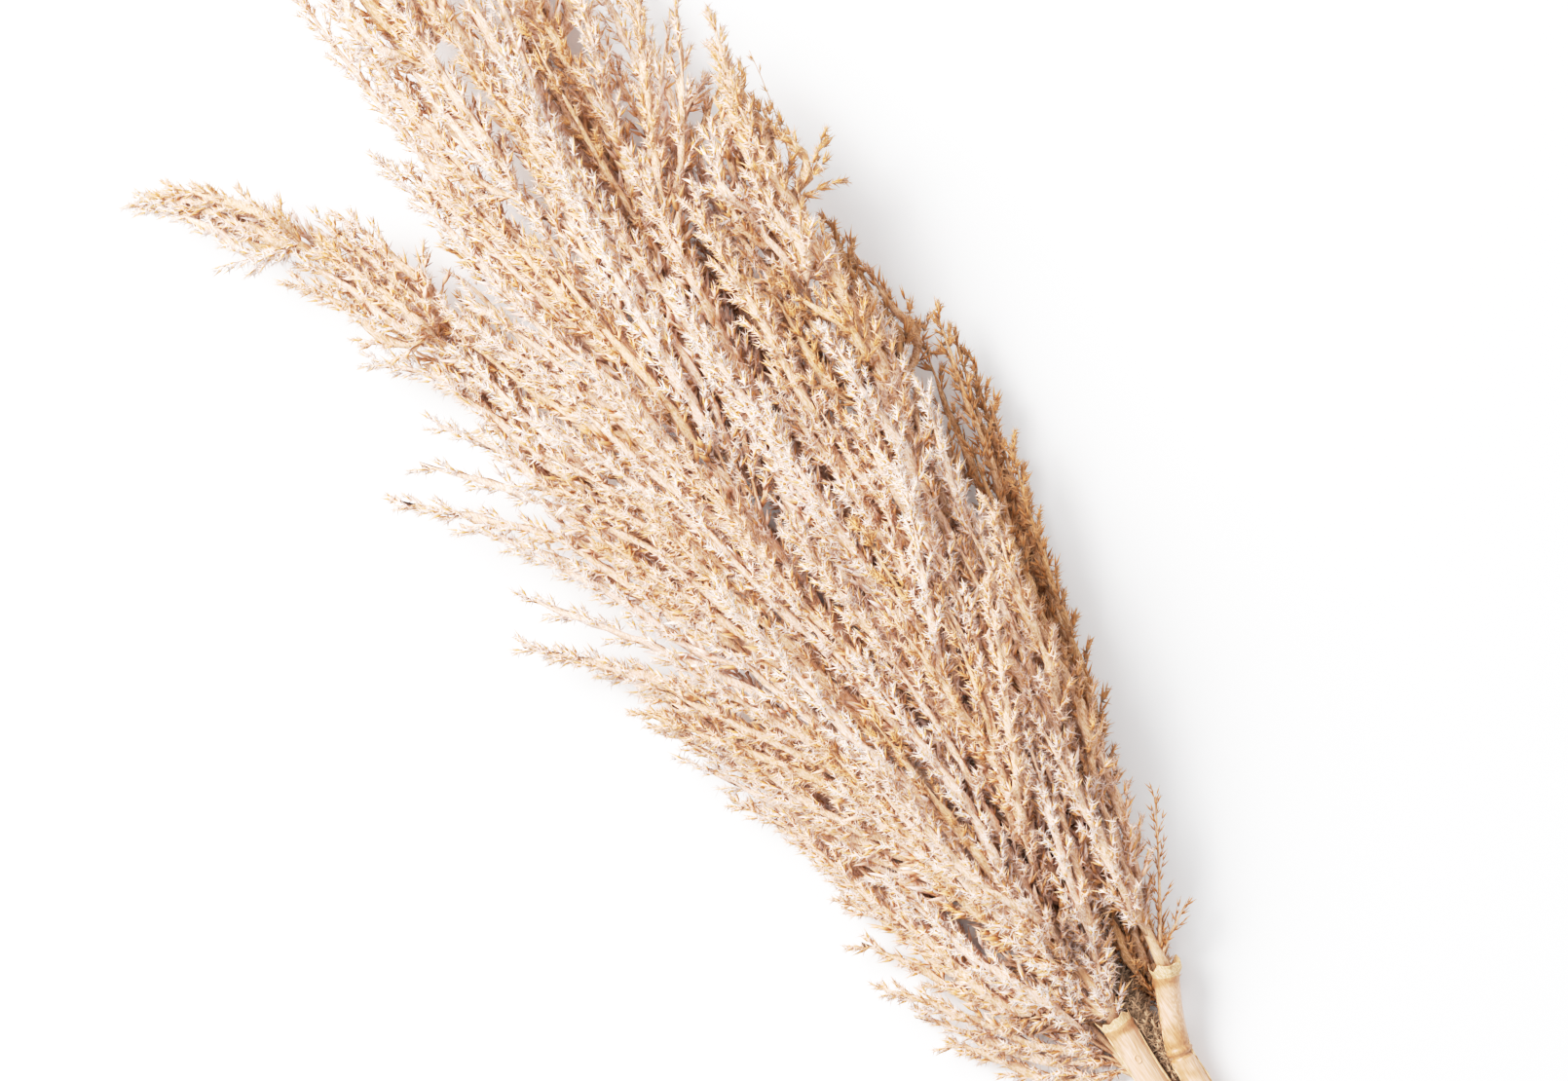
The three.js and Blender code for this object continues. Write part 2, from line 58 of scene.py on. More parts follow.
# A culm is a run of points from its cut end to its top, with nodes at shares of its length, and a rachis a
# Bezier curve from there to the tip. The sprays end in a sector of the bundle, in degrees, and lengths are
# those of the first and the last ones.
# A reach is a spray that stands out of the crowd: its start along the rachis, its tip, and, if it is slim,
# its radius and habit. Extras are for the looks alone, by habit and radius. Tone goes from 0, bleached, to 1,
# tanned, and silk is the share of the spikelets that kept theirs.
plumes = [
    {
        "name": "top_left",
        "seed": 90217,
        "culmRadius": 6.5,
        "culm": [(-7, -118, 13.9), (-6.4, -50, 14.4), (-6, 20, 18)],
        "culmNodes": [0.3, 0.985],
        "rachis": [(-8, 190, 72), (-36, 400, 66), (-32, 642, 40)],
        "sector": (86, 184),
        "gatherFrom": 0.75,
        "whorls": 8,
        "lengths": (208, 104),
        "sprayRadius": 10,
        "reaches": [
            (0.01, (27, 147, 68)), (0.05, (-33, 165, 84)), (0.1, (46, 202, 86)), (0.18, (40, 254, 96)),
            (0.44, (-7, 476, 74)), (0.5, (-17, 516, 64)), (0.5, (61, 494, 46)), (0.62, (60, 440, 30)),
            (0.44, (-82, 424, 52)), (0.54, (-70, 484, 40)),
        ],
        "extras": [
            ("foot", 8, [
                (0, (-17.6, 62, 32)), (0, (-30, 50, 26)), (0, (-42, 44, 20)), (0, (2, 66, 36)),
                (0, (10, 58, 30)),
            ]),
            ("full", 11, [
                (0.6, (14, 540, 46)), (0.5, (40, 506, 40)), (0.62, (-56, 596, 40)), (0.66, (-12, 606, 46)),
                (0.6, (4, 570, 50)), (0.52, (-67, 578, 36)),
            ]),
            ("plump", 12.5, [
                (0.04, (-8, 266, 88)), (0.1, (8, 312, 86)), (0.2, (4, 366, 84)), (0.3, (18, 424, 74)),
                (0.36, (-4, 484, 72)),
            ]),
            ("filler", 10, [(0.34, (11, 496, 58)), (0.3, (22, 470, 50))]),
        ],
        "tone": 0.31,
    },
    {
        "name": "top_right",
        "seed": 41953,
        "culmRadius": 5.5,
        "culm": [(6.5, -106, 12), (8.8, -20, 14.4), (9.6, -5, 15), (14, 8, 16.4), (22.6, 27, 20)],
        "culmNodes": [0.26, 0.75, 0.985],
        "cleft": 0.735,
        "rachis": [(46, 190, 72), (26, 320, 64), (77, 458, 48)],
        "sector": (0, 84),
        "gatherFrom": 0.65,
        "whorls": 8,
        "lengths": (180, 56),
        "sprayRadius": 10,
        "reaches": [
            (0.01, (58, 91, 30), 3.4, "sparse"),
            (0.01, (44, 46, 24), 2.6, "sparse"),
            (0.2, (64, 228, 80)),
            (0.66, (91, 441, 36), 4.2, "bald"),
        ],
        "extras": [
            ("plump", 12.5, [(0.3, (27, 396, 84)), (0.04, (40, 262, 90))]),
            ("plump", 12, [(0.46, (68, 430, 66))]),
        ],
        "tone": 0.42,
    },
    {
        "name": "low_left",
        "seed": 67121,
        "culmRadius": bundle["lowCulmRadius"],
        "culm": [(-12, -128, lying), (-10.4, -70, lying), (-9.4, -12, lying)],
        "culmNodes": [0.42, 0.985],
        "rachis": [(-50, 200, 40), (-66, 474, 44), (-163, 526, 30)],
        "sector": (172, 236),
        "gatherFrom": 0.62,
        "whorls": 6,
        "lengths": (190, 74),
        "sprayRadius": 9.6,
        "reaches": [
            (0.01, (-71, 50, 12)), (0.02, (-80, 84, 20)), (0.06, (-75, 124, 12)), (0.14, (-91, 184, 18)),
            (0.16, (-99, 226, 30)), (0.22, (-105, 262, 14)), (0.28, (-129, 285, 24)), (0.34, (-108, 320, 40)),
            (0.42, (-139, 362, 26)), (0.5, (-108, 380, 50)), (0.6, (-118, 418, 20)), (0.66, (-127, 460, 44)),
            (0.5, (-96, 466, 34)),
        ],
        "tone": 0.22,
    },
    {
        "name": "low_middle",
        "seed": 30727,
        "culmRadius": bundle["lowCulmRadius"],
        "culm": [(-1, -112, lying), (0, -60, lying), (0.2, -8, lying)],
        "culmNodes": [0.66, 0.985],
        "rachis": [(-6, 170, 30), (-2, 400, 24), (36, 606, 26)],
        "sector": (240, 306),
        "gatherFrom": 0.75,
        "whorls": 7,
        "lengths": (208, 104),
        "sprayRadius": 10,
        "reaches": [
            (0.1, (22, 268, 44)), (0.26, (27, 336, 40)), (0.36, (30, 402, 30)), (0.4, (-64, 440, 26)),
        ],
        "extras": [
            ("full", 11, [
                (0.08, (-8, 250, 58)), (0.14, (-2, 290, 56)), (0.2, (4, 332, 52)), (0.28, (10, 378, 46)),
                (0.36, (16, 430, 40)), (0.56, (22, 590, 34)), (0.5, (56, 556, 28)), (0.46, (-6, 540, 28)),
                (0.44, (60, 516, 24)), (0.4, (36, 500, 34)),
            ]),
        ],
        "tone": 0.34,
    },
    {
        "name": "low_right",
        "seed": 55837,
        "culmRadius": bundle["lowCulmRadius"],
        "culm": [(12, -122, lying), (10.6, -66, lying), (9.8, -10, lying)],
        "culmNodes": [0.2, 0.985],
        "rachis": [(42, 120, 14), (50, 240, 46), (73, 364, 28)],
        "sector": (308, 358),
        "gatherFrom": 0.65,
        "whorls": 5,
        "lengths": (170, 60),
        "sprayRadius": 9.6,
        "reaches": [(0.44, (90, 306, 30)), (0.3, (93, 286, 18)), (0.24, (86, 246, 34))],
        "silk": 0.55,
        "tone": 0.86,
    },
]

# How sprays leave a rachis, whorl by whorl, and how thick they and the rachis are.
growth = {
    "spraysPerWhorl": 3,
    "firstWhorl": 0.02,
    "lastWhorl": 0.8,
    "whorlJitter": 0.25,
    "turnStep": 0.382,
    "turnJitter": 0.12,
    "apexStart": 0.8,
    "sideShortening": 0.25,
    "lengthSpread": (0.85, 1.12),
    "forwardShare": 0.94,
    "shortOfTip": 6,
    "innerShare": 0.45,
    "gatherReach": 17,
    "gatherPower": 0.7,
    "gatheredShare": 0.2,
    "goldenAngle": math.pi * (3 - math.sqrt(5)),
    "points": 14,
    "leavingAngle": 22,
    "leavingHandle": 0.36,
    "arrivingHandle": 0.34,
    "tipDroop": 0.15,
    "radiusSpread": (0.86, 1.1),
    "reachSlimness": 0.9,
    "swellLength": 0.2,
    "rootSwell": 0.14,
    "tipTaper": 0.72,
    "rachisShare": 0.75,
    "rachisTipRadius": 1.4,
    "rachisTaper": 0.7,
    "nearEnough": 1e-6,
}

# How sprays make room for each other, for the stems and for the surface, round by round.
crowding = {
    "rounds": 60,
    "packing": 0.94,
    "touching": 1e-6,
    "smoothings": 2,
    "stemReach": 30,
    "nearAlong": 20,
    "sprayGive": 0.25,
    "stemGive": 0.3,
    "floorGive": 0.5,
    "skinGive": 0.3,
    "stiffPoints": 3,
    "stemPoints": 60,
    "ownStemShare": 0.3,
    "stemCrowding": 0.6,
    "stemMargin": 2,
    "restHeightShare": 0.72,
    "crowdedShare": 0.14,
    "roundsPerSearch": 10,
    "searchReach": 60,
    "easing": 4,
    "slimEasing": 60,
    "slimFrom": 0.8,
    "slimTo": 0.4,
}


def mix(a, b, share):
    return a + (b - a) * share


def clamp(value, low, high):
    return min(max(value, low), high)


def unit(v):
    return v / np.linalg.norm(v, axis=-1, keepdims=True)


def drawsFrom(seed):  # a repeatable stream of draws from 0 to 1
    state = seed
    while True:
        state = (state * 1664525 + 1013904223) % 2 ** 32
        yield state / 2 ** 32


def bezier(points, share):
    p0, p1, p2, p3 = (np.asarray(p, float) for p in points)
    s = np.asarray(share, float)[..., None]
    rest = 1 - s
    return rest ** 3 * p0 + 3 * rest ** 2 * s * p1 + 3 * rest * s ** 2 * p2 + s ** 3 * p3


def bezierTangent(points, share):
    step = 1e-4
    low, high = max(0, share - step), min(1, share + step)
    return unit(bezier(points, high) - bezier(points, low))


def splineThrough(points, perSpan):  # a centripetal Catmull-Rom line, with samples on each span
    p = np.asarray(points, float)
    p = np.vstack([2 * p[0] - p[1], p, 2 * p[-1] - p[-2]])
    steps = np.sqrt(np.linalg.norm(np.diff(p, axis=0), axis=1))[:, None]
    a, b, c, d = p[:-3], p[1:-2], p[2:-1], p[3:]
    before, here, after = steps[:-2], steps[1:-1], steps[2:]
    leave = ((b - a) / before - (c - a) / (before + here) + (c - b) / here) * here
    arrive = ((c - b) / here - (d - b) / (here + after) + (d - c) / after) * here
    t = np.arange(perSpan)[:, None, None] / perSpan
    line = b + leave * t + (-3 * b + 3 * c - 2 * leave - arrive) * t ** 2
    line = line + (2 * b - 2 * c + leave + arrive) * t ** 3
    line = line.transpose(1, 0, 2).reshape(-1, 3)
    return np.vstack([line, p[-2]])


def between(line, places, at):  # the spots of a line that lie at the given places along it
    return np.stack([np.interp(at, places, line[:, k]) for k in range(3)], axis=1)


def atShares(line, shares):
    return between(line, np.linspace(0, 1, len(line)), shares)


def evenly(line, count):  # the points at even distances along a line, and its length
    run = np.concatenate([[0], np.cumsum(np.linalg.norm(np.diff(line, axis=0), axis=1))])
    return between(line, run, np.linspace(0, run[-1], count)), run[-1]


def lengthOf(line):
    return evenly(line, 2)[1]


def rachisOf(plume):
    line = splineThrough(plume["culm"], bundle["spanSamples"])
    onward = unit(line[-1] - line[-2])
    return [line[-1] + onward * bundle["jointGap"], *plume["rachis"]]


def sectionAt(y):  # the middle and half size of the crowded body at a distance along it
    ys, lefts, rights, heights = np.array(bundle["sections"], float).T
    left, right, height = (np.interp(y, ys, v) for v in (lefts, rights, heights))
    return (left + right) / 2, height / 2, (right - left) / 2, height / 2


def girth(radius, share):  # the outer radius of a spray at a share of its length
    g = growth
    swell = np.clip(share / g["swellLength"], g["rootSwell"], 1)
    return radius * swell * (1 - g["tipTaper"] * share * share)


def rachisAt(curve, y):
    low, high = 0, 1
    while high - low > growth["nearEnough"]:
        half = (low + high) / 2
        if bezier(curve, half)[1] < y:
            low = half
        else:
            high = half
    return bezier(curve, low)


def sprayLine(curve, start, tip):
    g = growth
    root, along = bezier(curve, start), bezierTangent(curve, start)
    reach = tip - root
    run = np.linalg.norm(reach)
    outward = unit(reach - along * (reach @ along))
    lean = math.radians(g["leavingAngle"])
    leaving = along * math.cos(lean) + outward * math.sin(lean)
    onward = unit(reach / run - along * g["tipDroop"])
    leave, arrive = leaving * run * g["leavingHandle"], onward * run * g["arrivingHandle"]
    return bezier([root, root + leave, tip - arrive, tip], np.linspace(0, 1, g["points"]))


def spraysOf(plume):
    g = growth
    draw = drawsFrom(plume["seed"])
    curve = rachisOf(plume)
    tipY = curve[3][1]
    sprays = []
    for i in range(plume["whorls"] * g["spraysPerWhorl"]):
        along = (i // g["spraysPerWhorl"] + g["whorlJitter"] * next(draw)) / (plume["whorls"] - 1)
        start = mix(g["firstWhorl"], g["lastWhorl"], min(1, along))
        turn = (i * g["turnStep"] + g["turnJitter"] * next(draw)) % 1
        angle = math.radians(mix(*plume["sector"], turn))
        shorter = 1 - g["sideShortening"] * abs(math.cos(angle))
        length = mix(*plume["lengths"], start / g["lastWhorl"]) * shorter
        length *= mix(*g["lengthSpread"], next(draw))
        y = min(bezier(curve, start)[1] + length * g["forwardShare"], tipY - g["shortOfTip"])
        out = mix(g["innerShare"], 1, math.sqrt(next(draw)))
        x, z, halfWidth, halfHeight = sectionAt(y)
        tip = np.array([x + halfWidth * out * math.cos(angle), y, z + halfHeight * out * math.sin(angle)])
        gather = clamp((y / tipY - plume["gatherFrom"]) / (1 - plume["gatherFrom"]), 0, 1)
        swing = i * g["goldenAngle"]
        near = rachisAt(curve, y) + np.array([math.cos(swing), 0, math.sin(swing)]) * g["gatherReach"]
        tip = mix(tip, near, gather ** g["gatherPower"])
        sprays.append({
            "radius": plume["sprayRadius"] * mix(*g["radiusSpread"], next(draw)),
            "crowded": gather < g["gatheredShare"],
            "pinned": False,
            "points": sprayLine(curve, start, tip),
        })
    for start, tip, *slim in plume["reaches"]:
        radius, habit = slim or (plume["sprayRadius"] * g["reachSlimness"], "full")
        sprays.append({
            "radius": radius,
            "habit": habit,
            "crowded": False,
            "pinned": True,
            "points": sprayLine(curve, start, np.array(tip, float)),
        })
    sprays.append({
        "radius": plume["sprayRadius"],
        "apex": True,
        "crowded": False,
        "pinned": True,
        "points": bezier(curve, np.linspace(g["apexStart"], 1, g["points"])),
    })
    for spray in sprays:
        spray["plume"] = plume["name"]
        spray.setdefault("habit", "full")
    return sprays


def rachisRadius(plume, share):
    root, tip = plume["culmRadius"] * growth["rachisShare"], growth["rachisTipRadius"]
    return mix(root, tip, np.power(share, growth["rachisTaper"]))


def stemsOf(plume):
    shares = np.linspace(0, 1, crowding["stemPoints"])
    upTo = shares * growth["apexStart"]
    culm = splineThrough(plume["culm"], crowding["stemPoints"] - 1)
    culm = culm[np.round(shares * (len(culm) - 1)).astype(int)]
    return [
        (plume["name"], bezier(rachisOf(plume), upTo), rachisRadius(plume, upTo)),
        (plume["name"], culm, np.full(len(shares), float(plume["culmRadius"]))),
    ]


def toLine(points, line):  # distance, nearest spot and its place along the line, for each point
    a, step = line[:-1], np.diff(line, axis=0)
    t = ((points[:, None] - a) * step).sum(2) / (step * step).sum(1)
    t = np.clip(t, 0, 1)
    spots = a + step * t[..., None]
    far = np.linalg.norm(points[:, None] - spots, axis=2)
    best = far.argmin(1)
    row = np.arange(len(points))
    return far[row, best], spots[row, best], (best + t[row, best]) / (len(line) - 1)


def settle(sprays, stems):  # pushes the sprays clear of each other, of the stems and of the surface
    c, count = crowding, growth["points"]
    share = np.tile(np.linspace(0, 1, count), len(sprays))
    owner = np.repeat(np.arange(len(sprays)), count)
    kin = np.array([s["plume"] for s in sprays])[owner]
    radius = np.concatenate([girth(s["radius"], np.linspace(0, 1, count)) for s in sprays])
    crowded = np.array([s["crowded"] for s in sprays])[owner]
    points = np.concatenate([s["points"] for s in sprays])
    place = np.arange(count)
    fromRoot = np.clip((place - 1) / c["stiffPoints"], 0, 1)
    fromTip = np.clip((count - 1 - place) / c["stiffPoints"], 0, 1)
    free = np.concatenate([np.minimum(fromRoot, fromTip if s["pinned"] else 1) for s in sprays])
    for lap in range(c["rounds"]):
        if lap % c["roundsPerSearch"] == 0:
            first, second = [], []
            for i in range(len(points) - 1):
                near = np.abs(points[i + 1:] - points[i]).max(1) < c["searchReach"]
                near &= owner[i + 1:] != owner[i]
                near &= (kin[i + 1:] != kin[i]) | (np.minimum(share[i + 1:], share[i]) >= c["crowdedShare"])
                found = np.flatnonzero(near) + i + 1
                first.append(np.full(len(found), i))
                second.append(found)
            first, second = np.concatenate(first), np.concatenate(second)
            wantedApart = (radius[first] + radius[second]) * c["packing"]
        gap = points[first] - points[second]
        distance = np.linalg.norm(gap, axis=1)
        close = (distance < wantedApart) & (distance > c["touching"]) & (np.abs(gap[:, 1]) <= c["nearAlong"])
        a, b, gap, distance = first[close], second[close], gap[close], distance[close]
        gap = gap * (c["sprayGive"] * (wantedApart[close] - distance) / distance)[:, None]
        push = np.zeros_like(points)
        for k in range(3):
            push[:, k] += np.bincount(a, gap[:, k], len(points)) - np.bincount(b, gap[:, k], len(points))
        for name, line, radii in stems:
            low, high = line.min(0) - c["stemReach"], line.max(0) + c["stemReach"]
            within = ((points > low) & (points < high)).all(1)
            near = np.flatnonzero(within & ((kin != name) | (share >= c["ownStemShare"])))
            if not len(near):
                continue
            distance, spot, at = toLine(points[near], line)
            around = np.interp(at, np.linspace(0, 1, len(radii)), radii)
            wanted = radius[near] * c["stemCrowding"] + around + c["stemMargin"]
            hit = (distance < wanted) & (distance > c["touching"])
            away = (points[near] - spot)[hit]
            give = c["stemGive"] * (wanted - distance)[hit] / distance[hit]
            push[near[hit]] += away * give[:, None]
        push[:, 2] += c["floorGive"] * np.maximum(radius * c["restHeightShare"] - points[:, 2], 0)
        x, z, halfWidth, halfHeight = sectionAt(points[:, 1])
        across, up = points[:, 0] - x, points[:, 2] - z
        out = np.maximum(np.hypot(across / halfWidth, up / halfHeight), 1)
        back = np.where(crowded, c["skinGive"] * (1 / out - 1), 0)
        push[:, 0] += across * back
        push[:, 2] += up * back
        push = push.reshape(len(sprays), count, 3)
        for _ in range(c["smoothings"]):
            padded = np.concatenate([push[:, :1], push, push[:, -1:]], axis=1)
            push = (2 * push + padded[:, :-2] + padded[:, 2:]) / 4
        points = points + push.reshape(-1, 3) * free[:, None]
    for i, spray in enumerate(sprays):
        spray["points"] = points[i * count:(i + 1) * count]


def easeBends(sprays):  # a stalk is stiffer than a row of pushed points
    for spray in sprays:
        points = spray["points"]
        for _ in range(crowding["easing" if spray["habit"] == "full" else "slimEasing"]):
            points[2:-1] = (points[1:-2] + 2 * points[2:-1] + points[3:]) / 4


def rachisCurves():
    return {plume["name"]: rachisOf(plume) for plume in plumes}


def gatherTips(sprays):  # the sprays close in on the rachis toward a plume's tip, which is slim
    curves = rachisCurves()
    for spray in sprays:
        curve = curves[spray["plume"]]
        for i, point in enumerate(spray["points"]):
            near = clamp((point[1] / curve[3][1] - crowding["slimFrom"]) / (1 - crowding["slimFrom"]), 0, 1)
            if near:
                middle = rachisAt(curve, point[1])
                spray["points"][i] = middle + (point - middle) * mix(1, crowding["slimTo"], near * near)


def toFrame(points):  # from the layout's millimetres to the frame's metres
    shift = np.array([-bundle["middle"][0], -bundle["middle"][1], 0])
    return (np.asarray(points) + shift) * mm


# Turns sRGB hex colours, as a colour picker shows them, to the linear colours that shaders take.
def linearColour(hexValue):
    parts = [int(hexValue[i:i + 2], 16) / 255 for i in (1, 3, 5)]
    return [p / 12.92 if p <= 0.04045 else ((p + 0.055) / 1.055) ** 2.4 for p in parts] + [1]


def fillRamp(ramp, steps):
    while len(ramp.elements) < len(steps):
        ramp.elements.new(1)
    for element, (position, colour) in zip(ramp.elements, steps):
        element.position = position
        element.color = linearColour(colour)


def addNode(material, kind, settings=None, links=None):
    node = material.node_tree.nodes.new(kind)
    for key, value in (settings or {}).items():
        if key == "steps":
            fillRamp(node.color_ramp, value)
        elif isinstance(key, str) and hasattr(node, key):
            setattr(node, key, value)
        else:
            node.inputs[key].default_value = value
    for socket, source in (links or {}).items():
        source = source.outputs[0] if isinstance(source, bpy.types.Node) else source
        material.node_tree.links.new(source, node.inputs[socket])
    return node


def drawnOut(material, place, width, length):  # stretches a pattern along the bundle
    across, lengthwise = 1 / (width * mm), 1 / (length * mm)
    return addNode(material, "ShaderNodeMapping", {"Scale": (across, lengthwise, across)}, {"Vector": place})


def rampsBlended(material, pattern, share, first, second):  # the colours of two ramps, blended by a share
    low = addNode(material, "ShaderNodeValToRGB", {"steps": first}, {"Fac": pattern})
    high = addNode(material, "ShaderNodeValToRGB", {"steps": second}, {"Fac": pattern})
    sockets = {0: share, 6: low, 7: high}  # a Mix node's colours go in at 6 and 7 and come out at 2
    return addNode(material, "ShaderNodeMix", {"data_type": "RGBA"}, sockets).outputs[2]


def newMaterial(name):
    material = bpy.data.materials.new(name)
    material.use_nodes = True
    material.node_tree.nodes.clear()
    return material


# Silk of the florets: fine hollow hairs, tan at the root and bleached nearly white at the point, that
# glow a little where light comes through them.
def floretSilk():
    m, s = newMaterial("floretSilk"), looks["silk"]
    tone = addNode(m, "ShaderNodeAttribute", {"attribute_name": "tone"})
    along = addNode(m, "ShaderNodeAttribute", {"attribute_name": "along"})
    tanned = addNode(
        m, "ShaderNodeMath", {"operation": "MULTIPLY_ADD", 1: -s["rootTan"]},
        {0: along.outputs["Fac"], 2: tone.outputs["Fac"]},
    )
    shade = addNode(m, "ShaderNodeMath", {"operation": "ADD", 1: s["rootTan"]}, {0: tanned})
    colour = addNode(m, "ShaderNodeValToRGB", {"steps": s["tones"]}, {"Fac": shade})
    hair = addNode(m, "ShaderNodeBsdfPrincipled", {"Roughness": 0.6, "IOR": 1.4}, {"Base Color": colour})
    glow = addNode(m, "ShaderNodeBsdfTranslucent", links={"Color": colour})
    skin = addNode(m, "ShaderNodeMixShader", {0: s["through"]}, {1: hair, 2: glow})
    addNode(m, "ShaderNodeOutputMaterial", links={"Surface": skin})
    return m


# Matted floss: silk so dense round a spray's stalk that no single hair stands out, pale, with painted shade:
# the golden-brown low end of its colours darkens the hollows between strands. The real hairs are about 0.02
# mm thick, and the streaks are drawn coarser so that they show.
def mattedFloss():
    m, f = newMaterial("mattedFloss"), looks["floss"]
    place = addNode(m, "ShaderNodeTexCoord").outputs["Object"]
    tone = addNode(m, "ShaderNodeAttribute", {"attribute_name": "tone"})
    drawn = drawnOut(m, place, f["strand"], f["strandLength"])
    strands = addNode(
        m, "ShaderNodeTexNoise", {"Scale": 1, "Detail": 3, "Roughness": 0.65}, {"Vector": drawn}
    )
    colour = rampsBlended(m, strands, tone.outputs["Fac"], f["pale"], f["tanned"])
    pile = addNode(m, "ShaderNodeBump", {"Strength": 1, "Distance": f["pile"] * mm}, {"Height": strands})
    floss = addNode(
        m, "ShaderNodeBsdfPrincipled", {"Roughness": 0.85, "IOR": 1.4},
        {"Base Color": colour, "Normal": pile},
    )
    addNode(m, "ShaderNodeOutputMaterial", links={"Surface": floss})
    return m


# Papery glume: the dry bract of a spikelet, golden at its foot and cream at its point.
def paperyGlume():
    m, g = newMaterial("paperyGlume"), looks["glume"]
    along = addNode(m, "ShaderNodeAttribute", {"attribute_name": "along"})
    tone = addNode(m, "ShaderNodeAttribute", {"attribute_name": "tone"})
    colour = rampsBlended(m, along.outputs["Fac"], tone.outputs["Fac"], g["pale"], g["tanned"])
    front = addNode(m, "ShaderNodeBsdfPrincipled", {"Roughness": 0.5, "IOR": 1.45}, {"Base Color": colour})
    back = addNode(m, "ShaderNodeBsdfTranslucent", links={"Color": colour})
    skin = addNode(m, "ShaderNodeMixShader", {0: g["through"]}, {1: front, 2: back})
    addNode(m, "ShaderNodeOutputMaterial", links={"Surface": skin})
    return m


# Grass straw: a hard waxy skin over long fibres, which show as fine lengthwise streaks and ribs, with
# browner patches where the skin has weathered, and on the culms a stain, darker at the nodes and, as painted
# shade, in the cleft of a node.
def grassStraw(name):
    m, s = newMaterial(name), looks[name]
    place = addNode(m, "ShaderNodeTexCoord").outputs["Object"]
    drawn = drawnOut(m, place, s["fibre"], s["fibreLength"])
    fibres = addNode(m, "ShaderNodeTexNoise", {"Scale": 1, "Detail": 4}, {"Vector": drawn})
    mottle = addNode(
        m, "ShaderNodeTexNoise", {"Scale": 1 / (s["patch"] * mm), "Detail": 3}, {"Vector": place}
    )
    stain = addNode(m, "ShaderNodeAttribute", {"attribute_name": "stain"}).outputs["Fac"]
    wearAndShade = addNode(
        m, "ShaderNodeMath", {"operation": "MULTIPLY_ADD", 1: s["stain"]}, {0: stain, 2: mottle}
    )
    low, high = looks["weathering"]
    bounds = {"From Min": low, "From Max": high, "To Max": s["wornShare"]}
    spots = addNode(m, "ShaderNodeMapRange", bounds, {"Value": wearAndShade})
    colour = rampsBlended(m, fibres, spots, s["streaks"], s["worn"])
    ribs = addNode(m, "ShaderNodeBump", {"Strength": 0.5, "Distance": s["rib"] * mm}, {"Height": fibres})
    wax = addNode(
        m, "ShaderNodeBsdfPrincipled", {"Roughness": s["roughness"], "IOR": 1.48},
        {"Base Color": colour, "Normal": ribs},
    )
    addNode(m, "ShaderNodeOutputMaterial", links={"Surface": wax})
    return m


# Matt white paper under the bundle.
def whitePaper():
    m = newMaterial("whitePaper")
    colour = linearColour(looks["paper"])
    sheet = addNode(m, "ShaderNodeBsdfPrincipled", {"Base Color": colour, "Roughness": 0.9})
    addNode(m, "ShaderNodeOutputMaterial", links={"Surface": sheet})
    return m


# Lengths in millimetres.
looks = {
    "silk": {
        "tones": [
            (0, "#ffeee6"), (0.35, "#fde0d3"), (0.66, "#f3c6ab"), (0.84, "#e0a878"), (0.95, "#c38b56"),
            (1, "#a58569"),
        ],
        "rootTan": 0.25,
        "through": 0.15,
    },
    "floss": {
        # The low end of each ramp is painted shade in the hollows between strands.
        "pale": [(0.3, "#be8962"), (0.43, "#dfaf90"), (0.56, "#f4d0bd"), (0.7, "#fde4d9")],
        "tanned": [(0.32, "#98683a"), (0.46, "#bd8a5a"), (0.62, "#dbad85"), (0.76, "#eecdb2")],
        "strand": 0.7,
        "strandLength": 2.2,
        "pile": 0.8,
    },
    "glume": {
        "pale": [(0, "#cf8840"), (0.4, "#e5a764"), (1, "#f8d4b0")],
        "tanned": [(0, "#a05f28"), (0.4, "#c27c41"), (1, "#dfa672")],
        "through": 0.2,
    },
    "stalkStraw": {
        "streaks": [(0.3, "#b88861"), (0.5, "#d0a381"), (0.7, "#e6c5a8")],
        "worn": [(0.3, "#996b46"), (0.6, "#bb8e68")],
        "wornShare": 0.8,
        "stain": 0,
        "fibre": 0.4,
        "fibreLength": 16,
        "patch": 14,
        "rib": 0.15,
        "roughness": 0.5,
    },
    "culmStraw": {
        "streaks": [(0.3, "#b48061"), (0.5, "#cb9b7d"), (0.7, "#dfb9a1")],
        "worn": [(0.3, "#8b5c3a"), (0.6, "#b07c56")],
        "wornShare": 0.95,
        "stain": 0.3,
        "fibre": 0.5,
        "fibreLength": 20,
        "patch": 14,
        "rib": 0.15,
        "roughness": 0.36,
    },
    "sheathStraw": {
        "streaks": [(0.3, "#a97e58"), (0.5, "#cfa47a"), (0.7, "#ecd2b0")],
        "worn": [(0.3, "#7d5837"), (0.6, "#a67c54")],
        "wornShare": 1,
        "stain": 0,
        "fibre": 0.4,
        "fibreLength": 12,
        "patch": 6,
        "rib": 0.1,
        "roughness": 0.6,
    },
    "weathering": (0.5, 0.68),
    "paper": "#f6f7f8",
}
silk, floss, glume, paper = floretSilk(), mattedFloss(), paperyGlume(), whitePaper()
stalkStraw, culmStraw, sheathStraw = map(grassStraw, ("stalkStraw", "culmStraw", "sheathStraw"))
print("materials made")

triangles = {}


def addPiece(name, mesh, material, plume, kind):
    mesh.name = name
    mesh.calc_loop_triangles()
    triangles[name] = len(mesh.loop_triangles)
    piece = bpy.data.objects.new(name, mesh)
    bpy.context.scene.collection.objects.link(piece)
    mesh.materials.append(material)
    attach(piece, "root")
    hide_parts(kind + "_" + plume["name"])


def finishMesh(bm, mesh=None):
    mesh = mesh or bpy.data.meshes.new("mesh")
    bm.to_mesh(mesh)
    bm.free()
    return mesh


def cornersOf(mesh):
    corners = np.empty(len(mesh.vertices) * 3)
    mesh.vertices.foreach_get("co", corners)
    return corners.reshape(-1, 3)


